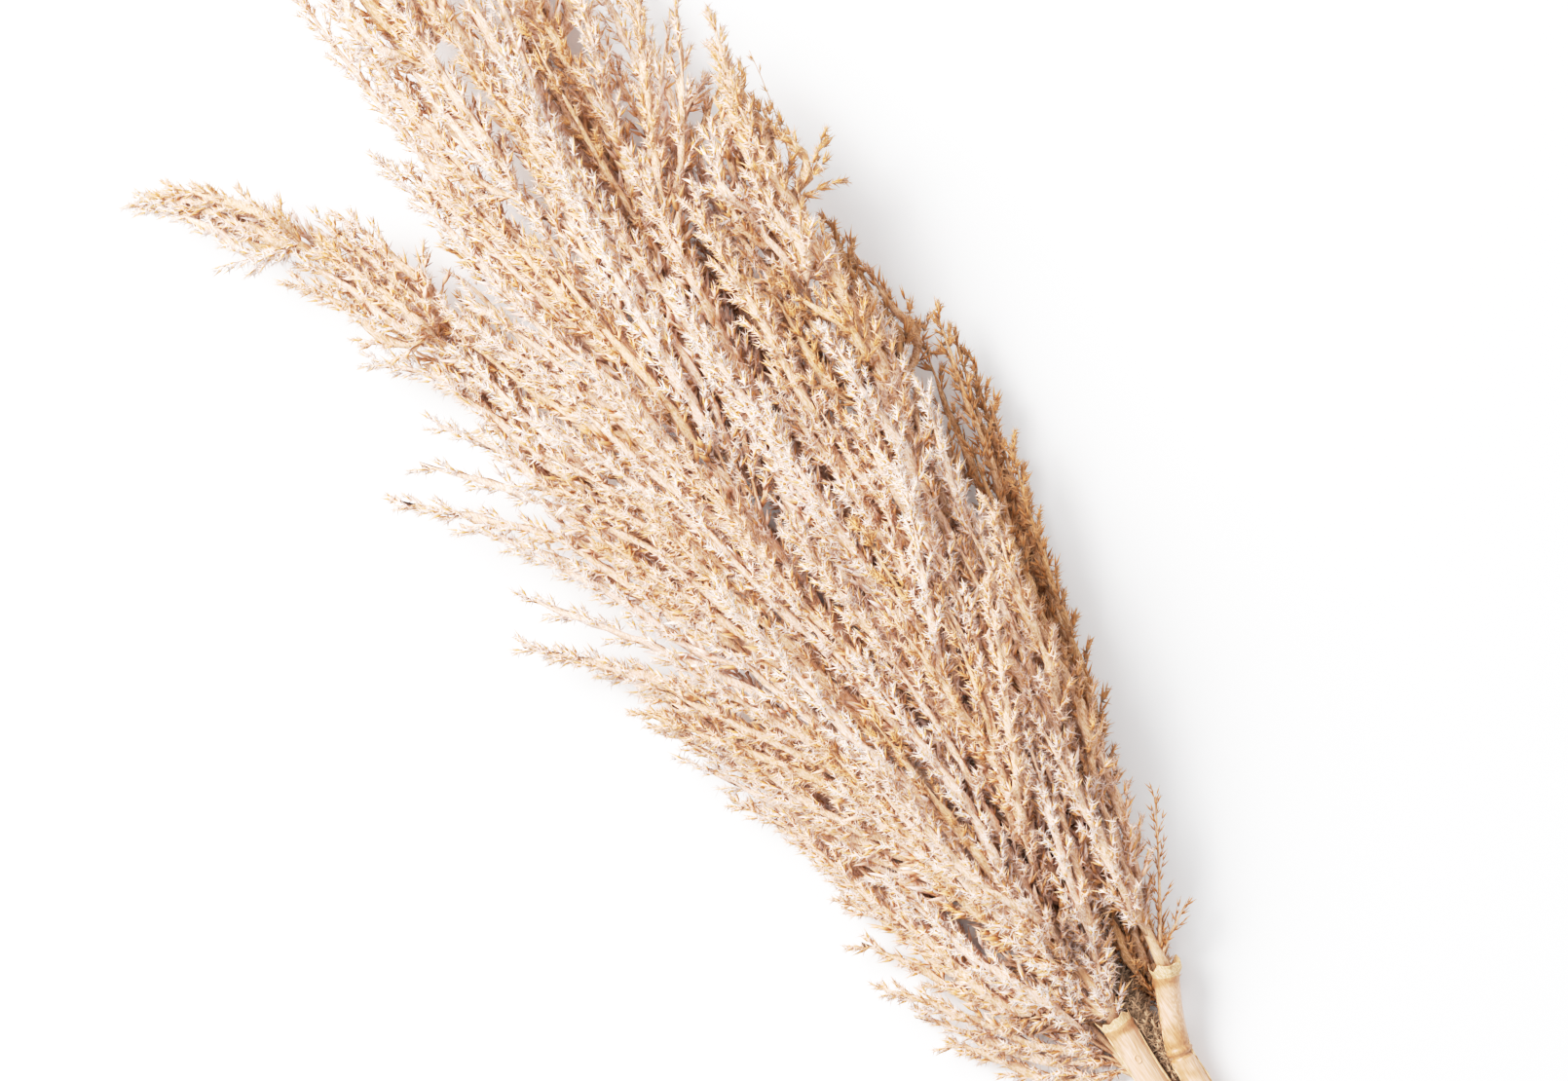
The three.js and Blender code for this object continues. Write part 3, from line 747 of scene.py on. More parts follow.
def addAttribute(mesh, name, values):
    mesh.attributes.new(name, "FLOAT", "POINT").data.foreach_set("value", values)


def smoothen(mesh):
    mesh.polygons.foreach_set("use_smooth", np.ones(len(mesh.polygons), bool))


# A spikelet: slim papery glumes in a V, and a tuft of silk. A tuft has a matted body and bursts of hairs at
# the florets' feet, and a burst is a small tetrahedron with each face drawn out to a hair. Lengths are in
# millimetres along the spikelet, which points up before it is placed.
spikelet = {
    "length": 10.5,
    "glumeWidth": 1.6,
    "glumeThickness": 1.0,
    "glumeWidest": 0.36,
    "glumes": [(-16, 1.0), (13, 0.86)],
    "glumeSides": 3,
    "bodySides": 4,
    "bodyRadius": 0.95,
    "body": (-0.5, 2.6, 7.6),
    "burstRadius": 0.3,
    "burstLength": 0.8,
    "burstsAt": (0.6, 4.0, 2.3, 5.4, 6.6),
    "hairLengths": (2.8, 5.6),
    "hairTilts": (76, 18),
    "hairSpread": 14,
    "hairSwing": 1.2,
    "bursts": {"dense": 5, "full": 2, "sparse": 0, "fuzz": 3},
    "tuftKinds": 8,
    "seed": 4021,
}


def finishTemplate(bm, along=None):
    mesh = finishMesh(bm)
    corners = cornersOf(mesh)
    if along is None:
        along = corners[:, 2] / corners[:, 2].max()
    return {"mesh": mesh, "corners": corners, "along": along}


def addSpindle(bm, low, widest, high, radius, sides, shape):
    for start, end, radii in ((low, widest, (0, radius)), (widest, high, (radius, 0))):
        half = bmesh.ops.create_cone(
            bm, cap_ends=False, segments=sides, depth=end - start, radius1=radii[0], radius2=radii[1]
        )
        lift = Matrix.Translation((0, 0, (start + end) / 2))
        bmesh.ops.transform(bm, verts=half["verts"], matrix=shape @ lift)
    bmesh.ops.remove_doubles(bm, verts=bm.verts, dist=1e-3)


def glumesTemplate(count):
    s = spikelet
    bm = bmesh.new()
    for splay, share in s["glumes"][:count]:
        length = s["length"] * share
        lean = Matrix.Rotation(math.radians(splay), 4, "Y")
        flatten = Matrix.Diagonal((1, s["glumeThickness"] / s["glumeWidth"], 1, 1))
        widest, radius = s["glumeWidest"] * length, s["glumeWidth"] / 2
        addSpindle(bm, 0, widest, length, radius, s["glumeSides"], lean @ flatten)
    return finishTemplate(bm)


def silkTuft(kind, bursts):
    s = spikelet
    draw = drawsFrom(s["seed"] + kind)
    bm = bmesh.new()
    turn = Matrix.Rotation(2 * math.pi * next(draw), 4, "Z")
    addSpindle(bm, *s["body"], s["bodyRadius"], s["bodySides"], turn)
    tips = set()
    for foot in s["burstsAt"][:bursts]:
        core = bmesh.ops.create_cone(
            bm, cap_ends=True, segments=3, radius1=s["burstRadius"], radius2=0, depth=s["burstLength"]
        )
        turn = Matrix.Rotation(2 * math.pi * next(draw), 4, "Z")
        bmesh.ops.transform(bm, verts=core["verts"], matrix=Matrix.Translation((0, 0, foot)) @ turn)
        bm.faces.ensure_lookup_table()
        for tip in bmesh.ops.poke(bm, faces=bm.faces[-4:])["verts"]:
            tilt = math.radians(mix(*s["hairTilts"], next(draw)) + s["hairSpread"] * (2 * next(draw) - 1))
            side = math.atan2(tip.co.y, tip.co.x) + s["hairSwing"] * (next(draw) - 0.5)
            way = Vector((math.sin(tilt) * math.cos(side), math.sin(tilt) * math.sin(side), math.cos(tilt)))
            tip.co += way * mix(*s["hairLengths"], next(draw))
            tips.add(tip)
    along = np.array([1.0 if v in tips else clamp(v.co.z / s["body"][2], 0, 1) for v in bm.verts])
    return finishTemplate(bm, along)


def silkTufts(density):
    return [silkTuft(kind, spikelet["bursts"][density]) for kind in range(spikelet["tuftKinds"])]


def twigNeedle():
    bm = bmesh.new()
    bmesh.ops.create_cone(bm, cap_ends=True, segments=3, radius1=branching["twigRadius"], radius2=0, depth=1)
    bmesh.ops.translate(bm, verts=bm.verts, vec=(0, 0, 0.5))
    return finishTemplate(bm)


def removeTemplates(templates):
    for template in templates:
        bpy.data.meshes.remove(template["mesh"])


# Copies of templates at their spots: a turn, a place, a scale and a tone each.
def copiesOf(templates, spots):
    bm = bmesh.new()
    along, tone = [], []
    for i, (turn, place, scale, shade) in enumerate(spots):
        template = templates[i % len(templates)]
        corners = toFrame(template["corners"] * scale @ turn.T + place)
        corners[:, 2] = np.maximum(corners[:, 2], 0)
        template["mesh"].vertices.foreach_set("co", corners.ravel())
        bm.from_mesh(template["mesh"])
        along.append(template["along"])
        tone.append(np.full(len(corners), shade))
    mesh = finishMesh(bm)
    addAttribute(mesh, "along", np.concatenate(along))
    addAttribute(mesh, "tone", np.concatenate(tone))
    smoothen(mesh)
    return mesh


# How a spray branches: twigs turn round its stalk, each with a few spikelets that point ahead.
branching = {
    "spanSamples": 8,
    "samples": 120,
    "twigStep": 4.6,
    "twigStepSpread": (0.8, 1.2),
    "twigTurn": 137.5,
    "twigTurnSpread": 30,
    "twigLean": (22, 14),
    "twigLeanSpread": (0.8, 1.2),
    "twigRadius": 0.3,
    "twigTone": 0.5,
    "twigReach": 0.5,
    "bareShare": 0.04,
    "narrowest": 0.18,
    "spikeletsAt": (0.26, 0.62, 1.0),
    "spikeletLean": 22,
    "spikeletLeanSpread": (0.6, 1.3),
    "outwardPull": 0.6,
    "droop": 0.05,
    "scales": (0.8, 1.04),
    "tipScale": 0.74,
    "apexSlimness": 0.55,
    "lowest": 1.6,
    "sprayTones": 0.34,
    "spikeletTones": 0.13,
    "stalkRadii": (1.3, 0.22),
    "stalkTaper": 0.35,
    "stalkPoints": 12,
    "stalkRoundness": 0,
    "stream": 7,
}
# A filler lies in the gap between two neighbours, a plump spray on top of the others, and a foot spray low
# on a culm's top with its thick stalk bare. A bald one has lost its silk, and a sparse one has only small
# bare florets on twigs that stand well apart.
habits = {
    "full": {"step": 1, "scale": 1, "silk": 1, "toneShift": 0, "stalk": 0.9, "core": 0.25, "spread": 1},
    "filler": {"step": 2, "scale": 1.1, "silk": 1, "toneShift": 0.1, "stalk": 0.8, "core": 0.24, "spread": 1},
    "plump": {
        "step": 0.8, "scale": 1.12, "silk": 1, "toneShift": -0.16, "stalk": 0.9, "core": 0.3, "spread": 1.1,
    },
    "foot": {"step": 1, "scale": 1, "silk": 1, "toneShift": 0.1, "stalk": 1.9, "core": 0.1, "spread": 1},
    "bald": {"step": 1.5, "scale": 0.5, "silk": 0, "toneShift": 0.3, "stalk": 0.8, "core": 0, "spread": 0.7},
    "sparse": {"step": 0.8, "scale": 0.62, "silk": 0, "toneShift": 0.9, "stalk": 1.3, "core": 0, "spread": 2.2},
}
filling = {
    "neighbours": 2, "comparedFrom": 7, "nearest": 8, "furthest": 60, "sink": 5, "lowest": 6, "radius": 9.5,
}
matting = {
    "from": 0.1, "step": 7, "fewest": 4, "ends": 0.25, "bluntTip": 1.02, "thinnest": 0.2, "leastCore": 0.5,
    "roundness": 1, "rough": (0.45, 1.5), "slide": 1.6, "seed": 97,
}
# The rachis is dressed too, from just above the culm, and drawn slimmer than the solid's.
rachisDress = {
    "radius": 11, "from": 0.02, "points": 60, "roundness": 3, "slimAt": (0, 0.03, 0.2, 1),
    "slimTo": (0.72, 0.5, 0.42, 0.4),
}
# A turn can start from any axis off its direction: a steep direction takes a level one.
turnAxes = {"usual": (0.31, 0.17, 1.0), "steep": (1.0, 0, 0), "steepFrom": 0.9}


def lookAlong(direction, roll):  # a turn that takes +Z to the direction
    z = unit(direction)
    x = unit(np.cross(turnAxes["usual" if abs(z[2]) < turnAxes["steepFrom"] else "steep"], z))
    y = np.cross(z, x)
    cos, sin = math.cos(roll), math.sin(roll)
    return np.stack([x * cos + y * sin, y * cos - x * sin, z], 1)


# Sprays in the gaps: each runs midway between two neighbours, of the same plume or of two, and a
# little deeper.
def addFillers(sprays):
    f = filling
    full = [spray for spray in sprays if spray["habit"] == "full"]
    runs = np.array([spray["points"] for spray in full])
    towardsTip = np.linspace(0, 1, growth["points"])[:, None]
    curves = rachisCurves()
    found = set()
    for i, run in enumerate(runs):
        far = np.linalg.norm(runs - run, axis=2)[:, f["comparedFrom"]:].mean(1)
        for j in np.argsort(far)[1:1 + f["neighbours"]]:
            pair = (min(i, j), max(i, j))
            if pair in found or not f["nearest"] < far[j] < f["furthest"]:
                continue
            found.add(pair)
            points = (run + runs[j]) / 2
            onRachis = rachisAt(curves[full[i]["plume"]], points[0, 1])
            points = points + (onRachis - points[0]) * (1 - towardsTip) ** 2
            points[:, 2] = np.maximum(points[:, 2] - f["sink"] * towardsTip[:, 0], f["lowest"])
            filler = {"plume": full[i]["plume"], "radius": f["radius"], "habit": "filler", "points": points}
            sprays.append(filler)


# Sprays for the looks alone: short ones that fan out from a culm's top, some deep between two plumes, and
# some on top of the others.
def addExtraSprays(sprays):
    for plume in plumes:
        curve = rachisOf(plume)
        for habit, radius, runs in plume.get("extras", []):
            for start, tip in runs:
                points = sprayLine(curve, start, np.array(tip, float))
                sprays.append({"plume": plume["name"], "radius": radius, "habit": habit, "points": points})


def branchesOf(spray, plume, draw):
    b, habit = branching, habits[spray["habit"]]
    last = b["samples"] - 1
    radius = spray["radius"] * (b["apexSlimness"] if spray.get("apex") else 1)
    line, length = evenly(splineThrough(spray["points"], b["spanSamples"]), b["samples"])
    line[:, 2] = np.maximum(line[:, 2], b["lowest"])
    tangent = unit(np.gradient(line, axis=0))
    side = unit(np.cross(tangent, [0, 0, 1]))
    up = np.cross(side, tangent)
    sprayTone = plume["tone"] + habit["toneShift"] + b["sprayTones"] * (2 * next(draw) - 1)
    spikelets, twigs = [], []
    angle = 360 * next(draw)
    at = b["bareShare"] * length
    while at < length:
        share = at / length
        i = min(int(share * last), last)
        around = girth(radius, max(share, b["narrowest"]))
        angle += b["twigTurn"] + b["twigTurnSpread"] * (next(draw) - 0.5)
        outward = side[i] * math.cos(math.radians(angle)) + up[i] * math.sin(math.radians(angle))
        lean = math.radians(mix(*b["twigLean"], share) * mix(*b["twigLeanSpread"], next(draw)))
        way = tangent[i] * math.cos(lean) + outward * math.sin(lean)
        reach = around * b["twigReach"] * habit["spread"] / math.sin(lean)
        across = unit(np.cross(way, outward))
        for n, where in enumerate(b["spikeletsAt"]):
            aside = across * (0 if where == 1 else 1 if n % 2 else -1)
            off = math.radians(b["spikeletLean"] * mix(*b["spikeletLeanSpread"], next(draw)))
            heading = way * math.cos(off) + (aside + b["outwardPull"] * outward) * math.sin(off)
            heading = heading - np.array([0, 0, b["droop"]])
            scale = mix(*b["scales"], next(draw)) * mix(1, b["tipScale"], share) * habit["scale"]
            tone = clamp(sprayTone + b["spikeletTones"] * (2 * next(draw) - 1), 0, 1)
            turn = lookAlong(heading, 2 * math.pi * next(draw))
            spot = (turn, line[i] + way * reach * where, scale, tone)
            spikelets.append((spot, next(draw) < habit["silk"] * plume.get("silk", 1)))
        twigs.append((lookAlong(way, 0), line[i], np.array([1, 1, reach]), b["twigTone"]))
        at += b["twigStep"] * habit["step"] * mix(*b["twigStepSpread"], next(draw))
    shares = np.linspace(0, 1, b["stalkPoints"])
    radii = mix(*b["stalkRadii"], shares ** b["stalkTaper"]) * habit["stalk"]
    return {
        "spikelets": spikelets,
        "twigs": twigs,
        "stalk": (evenly(line, b["stalkPoints"])[0], radii),
        "core": coreOf(spray, line, length, sprayTone, habit),
    }


def coreOf(spray, line, length, tone, habit):  # the run of points, radii and tone of a spray's matted silk
    c = matting
    count = max(c["fewest"], int(length * (1 - c["from"]) / c["step"]))
    shares = np.linspace(c["from"], 1, count)
    blunt = np.sqrt(np.clip(np.minimum(shares - c["from"], c["bluntTip"] - shares) / c["ends"], 0, 1))
    radii = girth(spray["radius"], np.maximum(shares, branching["narrowest"])) * habit["core"] * blunt
    return atShares(line, shares), np.maximum(radii, c["thinnest"]), clamp(tone, 0, 1)


def stalkMesh(runs, roundness):
    curve = bpy.data.curves.new("runs", "CURVE")
    curve.dimensions = "3D"
    curve.bevel_depth = 1
    curve.bevel_resolution = roundness
    curve.use_fill_caps = False
    for points, radii in runs:
        spline = curve.splines.new("POLY")
        spline.points.add(len(points) - 1)
        for target, point, radius in zip(spline.points, toFrame(points), radii):
            target.co = (*point, 1)
            target.radius = radius * mm
    holder = bpy.data.objects.new("runs", curve)
    mesh = bpy.data.meshes.new_from_object(holder)
    bpy.data.objects.remove(holder)
    bpy.data.curves.remove(curve)
    bm = bmesh.new()
    bm.from_mesh(mesh)
    bmesh.ops.holes_fill(bm, edges=[edge for edge in bm.edges if edge.is_boundary], sides=0)
    bmesh.ops.recalc_face_normals(bm, faces=bm.faces)
    return finishMesh(bm, mesh)


def flossMesh(cores):  # matted silk round each stalk, roughened so that no ring is round
    c = matting
    mesh = stalkMesh([(points, radii) for points, radii, _ in cores], c["roundness"])
    centres = toFrame(np.concatenate([points for points, _, _ in cores]))
    tones = np.concatenate([np.full(len(points), tone) for points, _, tone in cores])
    sides = len(mesh.vertices) // len(centres)
    offsets = cornersOf(mesh).reshape(len(centres), sides, 3) - centres[:, None]
    draws = np.random.default_rng(c["seed"]).uniform(0, 1, (2, len(centres), sides))
    offsets *= mix(*c["rough"], draws[0])[..., None]
    offsets[..., 1] += c["slide"] * mm * (2 * draws[1] - 1)
    corners = (centres[:, None] + offsets).reshape(-1, 3)
    corners[:, 2] = np.maximum(corners[:, 2], 0)
    mesh.vertices.foreach_set("co", corners.ravel())
    addAttribute(mesh, "tone", np.repeat(tones, sides))
    smoothen(mesh)
    return mesh


# How deep each spikelet lies under the bundle's skin, seen from above and from both sides, in millimetres.
# Only the ones near the skin get dense silk, and deeper ones are painted browner: painted shade for the light
# that the bundle's depth holds back.
silkDepth = {
    "cell": 8, "outer": 3.5, "full": 11, "glumeless": 22, "unseen": 36, "shadeFrom": 6, "shadeTo": 30,
    "toneShift": 0.35, "tannestWithShade": 0.8, "innerScale": 1.4, "halfway": 250,
}


def depthBelowSkin(points):
    depth = np.full(len(points), np.inf)
    for across, inward, facing in ((0, 2, 1), (2, 0, 1), (2, 0, -1)):
        cells = np.round(points[:, [across, 1]] / silkDepth["cell"]).astype(int)
        _, which = np.unique(cells, axis=0, return_inverse=True)
        which = which.ravel()
        skin = np.full(which.max() + 1, -np.inf)
        np.maximum.at(skin, which, facing * points[:, inward])
        depth = np.minimum(depth, skin[which] - facing * points[:, inward])
    return depth


sprays = [spray for plume in plumes for spray in spraysOf(plume)]
settle(sprays, [stem for plume in plumes for stem in stemsOf(plume)])
easeBends(sprays)
print("sprays settled:", len(sprays))
addFillers(sprays)
addExtraSprays(sprays)
gatherTips(sprays)
print("sprays with fillers and extras:", len(sprays))

grown = []
for plume in plumes:
    draw = drawsFrom(plume["seed"] + branching["stream"])
    own = [spray for spray in sprays if spray["plume"] == plume["name"]]
    shares = np.linspace(rachisDress["from"], growth["apexStart"], growth["points"])
    points = bezier(rachisOf(plume), shares)
    own.append({"radius": rachisDress["radius"], "habit": "full", "points": points})
    grown.append((plume, [branchesOf(spray, plume, draw) for spray in own]))
    print("sprays of", plume["name"], len(own))
everyPlace = np.array([spot[1] for _, own in grown for spray in own for spot, _ in spray["spikelets"]])
depths = iter(depthBelowSkin(everyPlace))
print("spikelets:", len(everyPlace))

glumePairs, singleGlumes, twigNeedles = [glumesTemplate(2)], [glumesTemplate(1)], [twigNeedle()]
denseTufts, fullTufts, sparseTufts = map(silkTufts, ("dense", "full", "sparse"))
for plume, own in grown:
    name = plume["name"]
    pairs, singles, denseLow, denseHigh, full, sparse = [], [], [], [], [], []
    for (turn, place, scale, tone), silky in (s for spray in own for s in spray["spikelets"]):
        depth = next(depths)
        # Painted shade: the tone rises with depth under the skin, so deeper glumes and silk come out browner.
        deep = clamp((depth - silkDepth["shadeFrom"]) / (silkDepth["shadeTo"] - silkDepth["shadeFrom"]), 0, 1)
        spot = (turn, place, scale, min(silkDepth["tannestWithShade"], tone + deep * silkDepth["toneShift"]))
        if depth > silkDepth["unseen"]:
            continue
        if depth < silkDepth["glumeless"]:
            (pairs if depth < silkDepth["full"] else singles).append(spot)
        if depth < silkDepth["outer"] and silky:
            (denseLow if place[1] < silkDepth["halfway"] else denseHigh).append(spot)
        elif depth < silkDepth["full"] and silky:
            full.append(spot)
        elif silky:
            sparse.append((turn, place, scale * silkDepth["innerScale"], spot[3]))
    shares = np.linspace(0, growth["apexStart"], rachisDress["points"])
    slimming = np.interp(shares, rachisDress["slimAt"], rachisDress["slimTo"])
    rachis = (bezier(rachisOf(plume), shares), rachisRadius(plume, shares) * slimming)
    stalks = [spray["stalk"] for spray in own]
    cores = [spray["core"] for spray in own if spray["core"][1].max() > matting["leastCore"]]
    twigs = [twig for spray in own for twig in spray["twigs"]]
    pieces = [
        ("rachis_", stalkMesh([rachis], rachisDress["roundness"]), stalkStraw),
        ("stalks_", stalkMesh(stalks, branching["stalkRoundness"]), stalkStraw),
        ("floss_", flossMesh(cores), floss),
        ("twigs_", copiesOf(twigNeedles, twigs), glume),
        ("glumes_", copiesOf(glumePairs, pairs), glume),
        ("innerGlumes_", copiesOf(singleGlumes, singles), glume),
        ("lowOuterSilk_", copiesOf(denseTufts, denseLow), silk),
        ("highOuterSilk_", copiesOf(denseTufts, denseHigh), silk),
        ("silk_", copiesOf(fullTufts, full), silk),
        ("innerSilk_", copiesOf(sparseTufts, sparse), silk),
    ]
    for kind, mesh, material in pieces:
        addPiece(kind + name, mesh, material, plume, "plume")
removeTemplates(glumePairs + singleGlumes + twigNeedles + denseTufts + fullTufts + sparseTufts)
print("plumes made, triangles:", sum(triangles.values()), "largest piece:", max(triangles.values()))

# A culm: round between its nodes, with a ring at each node, a groove above it where the leaf sheath broke
# off, and a pithy face where it was cut. Lengths are in millimetres.
culmShape = {
    "spanSamples": 60,
    "roundness": 8,
    "pointStep": 1.0,
    "build": (0.94, 1),
    "lowBuild": (0.81, 0.35),
    "ringHeight": 0.08,
    "ringWidth": 0.9,
    "grooveDepth": 0.07,
    "grooveAbove": 2.2,
    "grooveWidth": 0.7,
    "swell": 0.06,
    "swellWidth": 8,
    "cleftDepth": 0.22,
    "cleftWidth": 0.7,
    # The cleft's darkening in the stain is painted shade.
    "cleftShade": 2,
    "stainWidth": 3.2,
    "cutDepth": 0.8,
    "cutRim": 0.22,
}


def culmLine(plume):
    return splineThrough(plume["culm"], culmShape["spanSamples"])


def buildOf(plume):  # the waist as a share of the culm's radius, and the share of its relief
    return culmShape["lowBuild" if plume["culmRadius"] == bundle["lowCulmRadius"] else "build"]


def culmRings(plume, length, at):  # radius and stain of each ring, the stain darkened in the cleft as painted shade
    c = culmShape
    waist, relief = buildOf(plume)
    scale, stain = np.full(len(at), waist), np.zeros(len(at))
    for node in plume["culmNodes"]:
        off = at - node * length
        scale += relief * c["ringHeight"] * np.exp(-(off / c["ringWidth"]) ** 2)
        scale -= relief * c["grooveDepth"] * np.exp(-((off - c["grooveAbove"]) / c["grooveWidth"]) ** 2)
        scale += relief * c["swell"] * np.exp(-(off / c["swellWidth"]) ** 2)
        stain += np.exp(-(off / c["stainWidth"]) ** 2)
    # Painted shade: the cleft is darkened in the stain as well as cut in.
    if "cleft" in plume:
        off = at - plume["cleft"] * length
        scale -= c["cleftDepth"] * np.exp(-(off / c["cleftWidth"]) ** 2)
        stain += c["cleftShade"] * np.exp(-(off / c["cleftWidth"]) ** 2)
    return plume["culmRadius"] * scale, stain


def culmMesh(plume):
    c = culmShape
    line = culmLine(plume)
    line, length = evenly(line, int(lengthOf(line) / c["pointStep"]) + 1)
    radii, stain = culmRings(plume, length, np.linspace(0, length, len(line)))
    mesh = stalkMesh([(line, radii)], c["roundness"])
    addAttribute(mesh, "stain", np.repeat(stain, len(mesh.vertices) // len(line)))
    bm = bmesh.new()
    bm.from_mesh(mesh)
    ends = [face for face in bm.faces if len(face.verts) > 4]  # all the others are quads
    bmesh.ops.inset_individual(
        bm, faces=ends, thickness=c["cutRim"] * plume["culmRadius"] * mm, use_even_offset=True
    )
    for face in ends:
        bmesh.ops.translate(bm, verts=face.verts, vec=face.normal * -c["cutDepth"] * mm)
    bmesh.ops.recalc_face_normals(bm, faces=bm.faces)
    finishMesh(bm, mesh)
    for polygon in mesh.polygons:
        polygon.use_smooth = len(polygon.vertices) == 4
    return mesh


# The torn end of the leaf sheath round a culm's top: thin, papery and ragged.
collar = {
    "segments": 18,
    "height": 3.6,
    "below": 2.2,
    "flare": {"top_left": 1.1, "top_right": 1.3},
    "plainFlare": 0.98,
    "ragged": 4.6,
    "warp": 0.12,
    "splay": 0.1,
    "thickness": 0.35,
    "headingOver": 3,
    "seed": 611,
}


def endTurn(plume):  # the place and turn of a culm's top
    line = culmLine(plume)
    heading = unit(line[-1] - line[-1 - collar["headingOver"]])
    return line[-1], Matrix(lookAlong(heading, 0).tolist()).to_4x4()


def collarMesh(plume):
    c, radius = collar, plume["culmRadius"] * buildOf(plume)[0] / culmShape["build"][0]
    draw = drawsFrom(c["seed"] + plume["seed"])
    flare = c["flare"].get(plume["name"], c["plainFlare"])
    bm = bmesh.new()
    bmesh.ops.create_cone(
        bm, cap_ends=False, segments=c["segments"], radius1=radius, radius2=radius * flare,
        depth=c["height"],
    )
    for v in bm.verts:
        if v.co.z > 0:
            rise = next(draw) ** 2
            v.co.z += rise * c["ragged"]
            v.co.xy *= 1 + c["warp"] * (next(draw) - 0.5) + c["splay"] * rise
    bmesh.ops.translate(bm, verts=bm.verts, vec=(0, 0, c["height"] / 2 - c["below"]))
    bmesh.ops.solidify(bm, geom=bm.faces[:], thickness=c["thickness"])
    bmesh.ops.recalc_face_normals(bm, faces=bm.faces)
    place, turn = endTurn(plume)
    shape = Matrix.Translation(toFrame(place)) @ turn @ Matrix.Scale(mm, 4)
    bmesh.ops.transform(bm, verts=bm.verts, matrix=shape)
    for v in bm.verts:
        v.co.z = max(v.co.z, 0)
    return finishMesh(bm)


# Narrow strips of the old leaf sheath that still cling along the culm: turn round it, start and end
# as shares of its length.
strips = {
    "runs": {
        "top_left": [(72, 0.5, 0.97), (-84, 0.62, 0.99), (-58, 0.1, 0.5)],
        "top_right": [(78, 0.2, 0.7), (-80, 0.3, 0.74), (-66, 0.78, 0.97)],
        "low_left": [(90, 0.2, 0.7)],
        "low_middle": [(-20, 0.3, 0.9)],
        "low_right": [(30, 0.4, 0.9)],
    },
    "width": 0.55,
    "edge": 0.08,
    "bluntness": 0.4,
    "points": 24,
    "roundness": 1,
    "wander": 8,
    "wanderRate": 17,
}


def stripMesh(plume):
    s = strips
    line = culmLine(plume)
    length = lengthOf(line)
    cling = np.sin(np.linspace(0, math.pi, s["points"])) ** s["bluntness"]
    runs = []
    for turn, low, high in s["runs"][plume["name"]]:
        shares = np.linspace(low, high, s["points"])
        angle = np.radians(turn + s["wander"] * np.sin(shares * s["wanderRate"] + turn))
        outward = np.stack([np.sin(angle), np.zeros(len(angle)), np.cos(angle)], 1)
        radii, _ = culmRings(plume, length, shares * length)
        runs.append((atShares(line, shares) + outward * radii[:, None], s["width"] * cling + s["edge"]))
    return stalkMesh(runs, s["roundness"])


# The scar of a side bud on the thicker culm, a small raised oval with a hollow.
budScar = {
    "place": (-6.7, 2.9, 23.1), "radius": 1.7, "topShare": 0.7, "rimShare": 0.25, "height": 0.9, "long": 1.5,
    "hollow": 0.5, "segments": 14,
}


def budScarMesh():
    s = budScar
    bm = bmesh.new()
    bmesh.ops.create_cone(
        bm, cap_ends=True, segments=s["segments"], radius1=s["radius"],
        radius2=s["radius"] * s["topShare"], depth=s["height"],
    )
    bm.faces.ensure_lookup_table()
    top = max(bm.faces, key=lambda face: face.calc_center_median().z)
    bmesh.ops.inset_individual(bm, faces=[top], thickness=s["radius"] * s["rimShare"])
    bmesh.ops.translate(bm, verts=top.verts, vec=(0, 0, -s["hollow"]))
    shape = Matrix.Translation(toFrame(s["place"])) @ Matrix.Diagonal((mm, mm * s["long"], mm, 1))
    bmesh.ops.transform(bm, verts=bm.verts, matrix=shape)
    return finishMesh(bm)


# Fuzz of the old leaf sheaths, over the low culms between the two that show, in the darkest silk tones:
# partly the sheaths' own brown, partly painted shade of the gap between the culms. Turns are in radians, and
# each row of them is a step further on.
sheathFuzz = {
    "runs": {
        "low_middle": [(0, -70, 7), (1, 0, 8), (2, 36, 14)],
        "low_right": [(9, -70, 7), (7, -5, 8), (5, 28, 11), (7, 54, 13)],
    },
    "samples": 200,
    "step": 1.8,
    "stepSpread": (0.8, 1.2),
    "radius": 4,
    "turns": {"low_middle": (-1.3, -0.8, -0.3, 0.2, 0.7, 1.2), "low_right": (-1.5, -1.1, -0.7, -0.3, 0)},
    "turnSpread": 0.5,
    "scales": (0.8, 1.3),
    # Partly painted shade: the fuzz takes the darkest end of the silk tones.
    "tones": (0.96, 1),
    "lean": 50,
    "seed": 733,
}


def fuzzSpots(plume):
    s = sheathFuzz
    draw = drawsFrom(s["seed"] + plume["seed"])
    run = splineThrough(s["runs"][plume["name"]], culmShape["spanSamples"])
    line, length = evenly(run, s["samples"])
    lean = math.radians(s["lean"])
    spots = []
    at = 0
    while at < length:
        middle = line[int(at / length * (s["samples"] - 1))]
        for turn in s["turns"][plume["name"]]:
            angle = turn + s["turnSpread"] * (next(draw) - 0.5)
            outward = np.array([math.sin(angle), 0, math.cos(angle)])
            heading = outward * math.sin(lean) + np.array([0, math.cos(lean), 0])
            roll, scale = 2 * math.pi * next(draw), mix(*s["scales"], next(draw))
            tone = mix(*s["tones"], next(draw))
            spots.append((lookAlong(heading, roll), middle + outward * s["radius"], scale, tone))
        at += s["step"] * mix(*s["stepSpread"], next(draw))
    return spots


fuzzTufts = silkTufts("fuzz")
for plume in plumes:
    name = plume["name"]
    addPiece("stem_" + name, culmMesh(plume), culmStraw, plume, "culm")
    addPiece("collar_" + name, collarMesh(plume), sheathStraw, plume, "culm")
    addPiece("strips_" + name, stripMesh(plume), sheathStraw, plume, "culm")
    if name in sheathFuzz["runs"]:
        addPiece("fuzz_" + name, copiesOf(fuzzTufts, fuzzSpots(plume)), silk, plume, "culm")
    if name == "top_left":
        addPiece("budScar_" + name, budScarMesh(), culmStraw, plume, "culm")
removeTemplates(fuzzTufts)
print("culms made, triangles in all:", sum(triangles.values()))

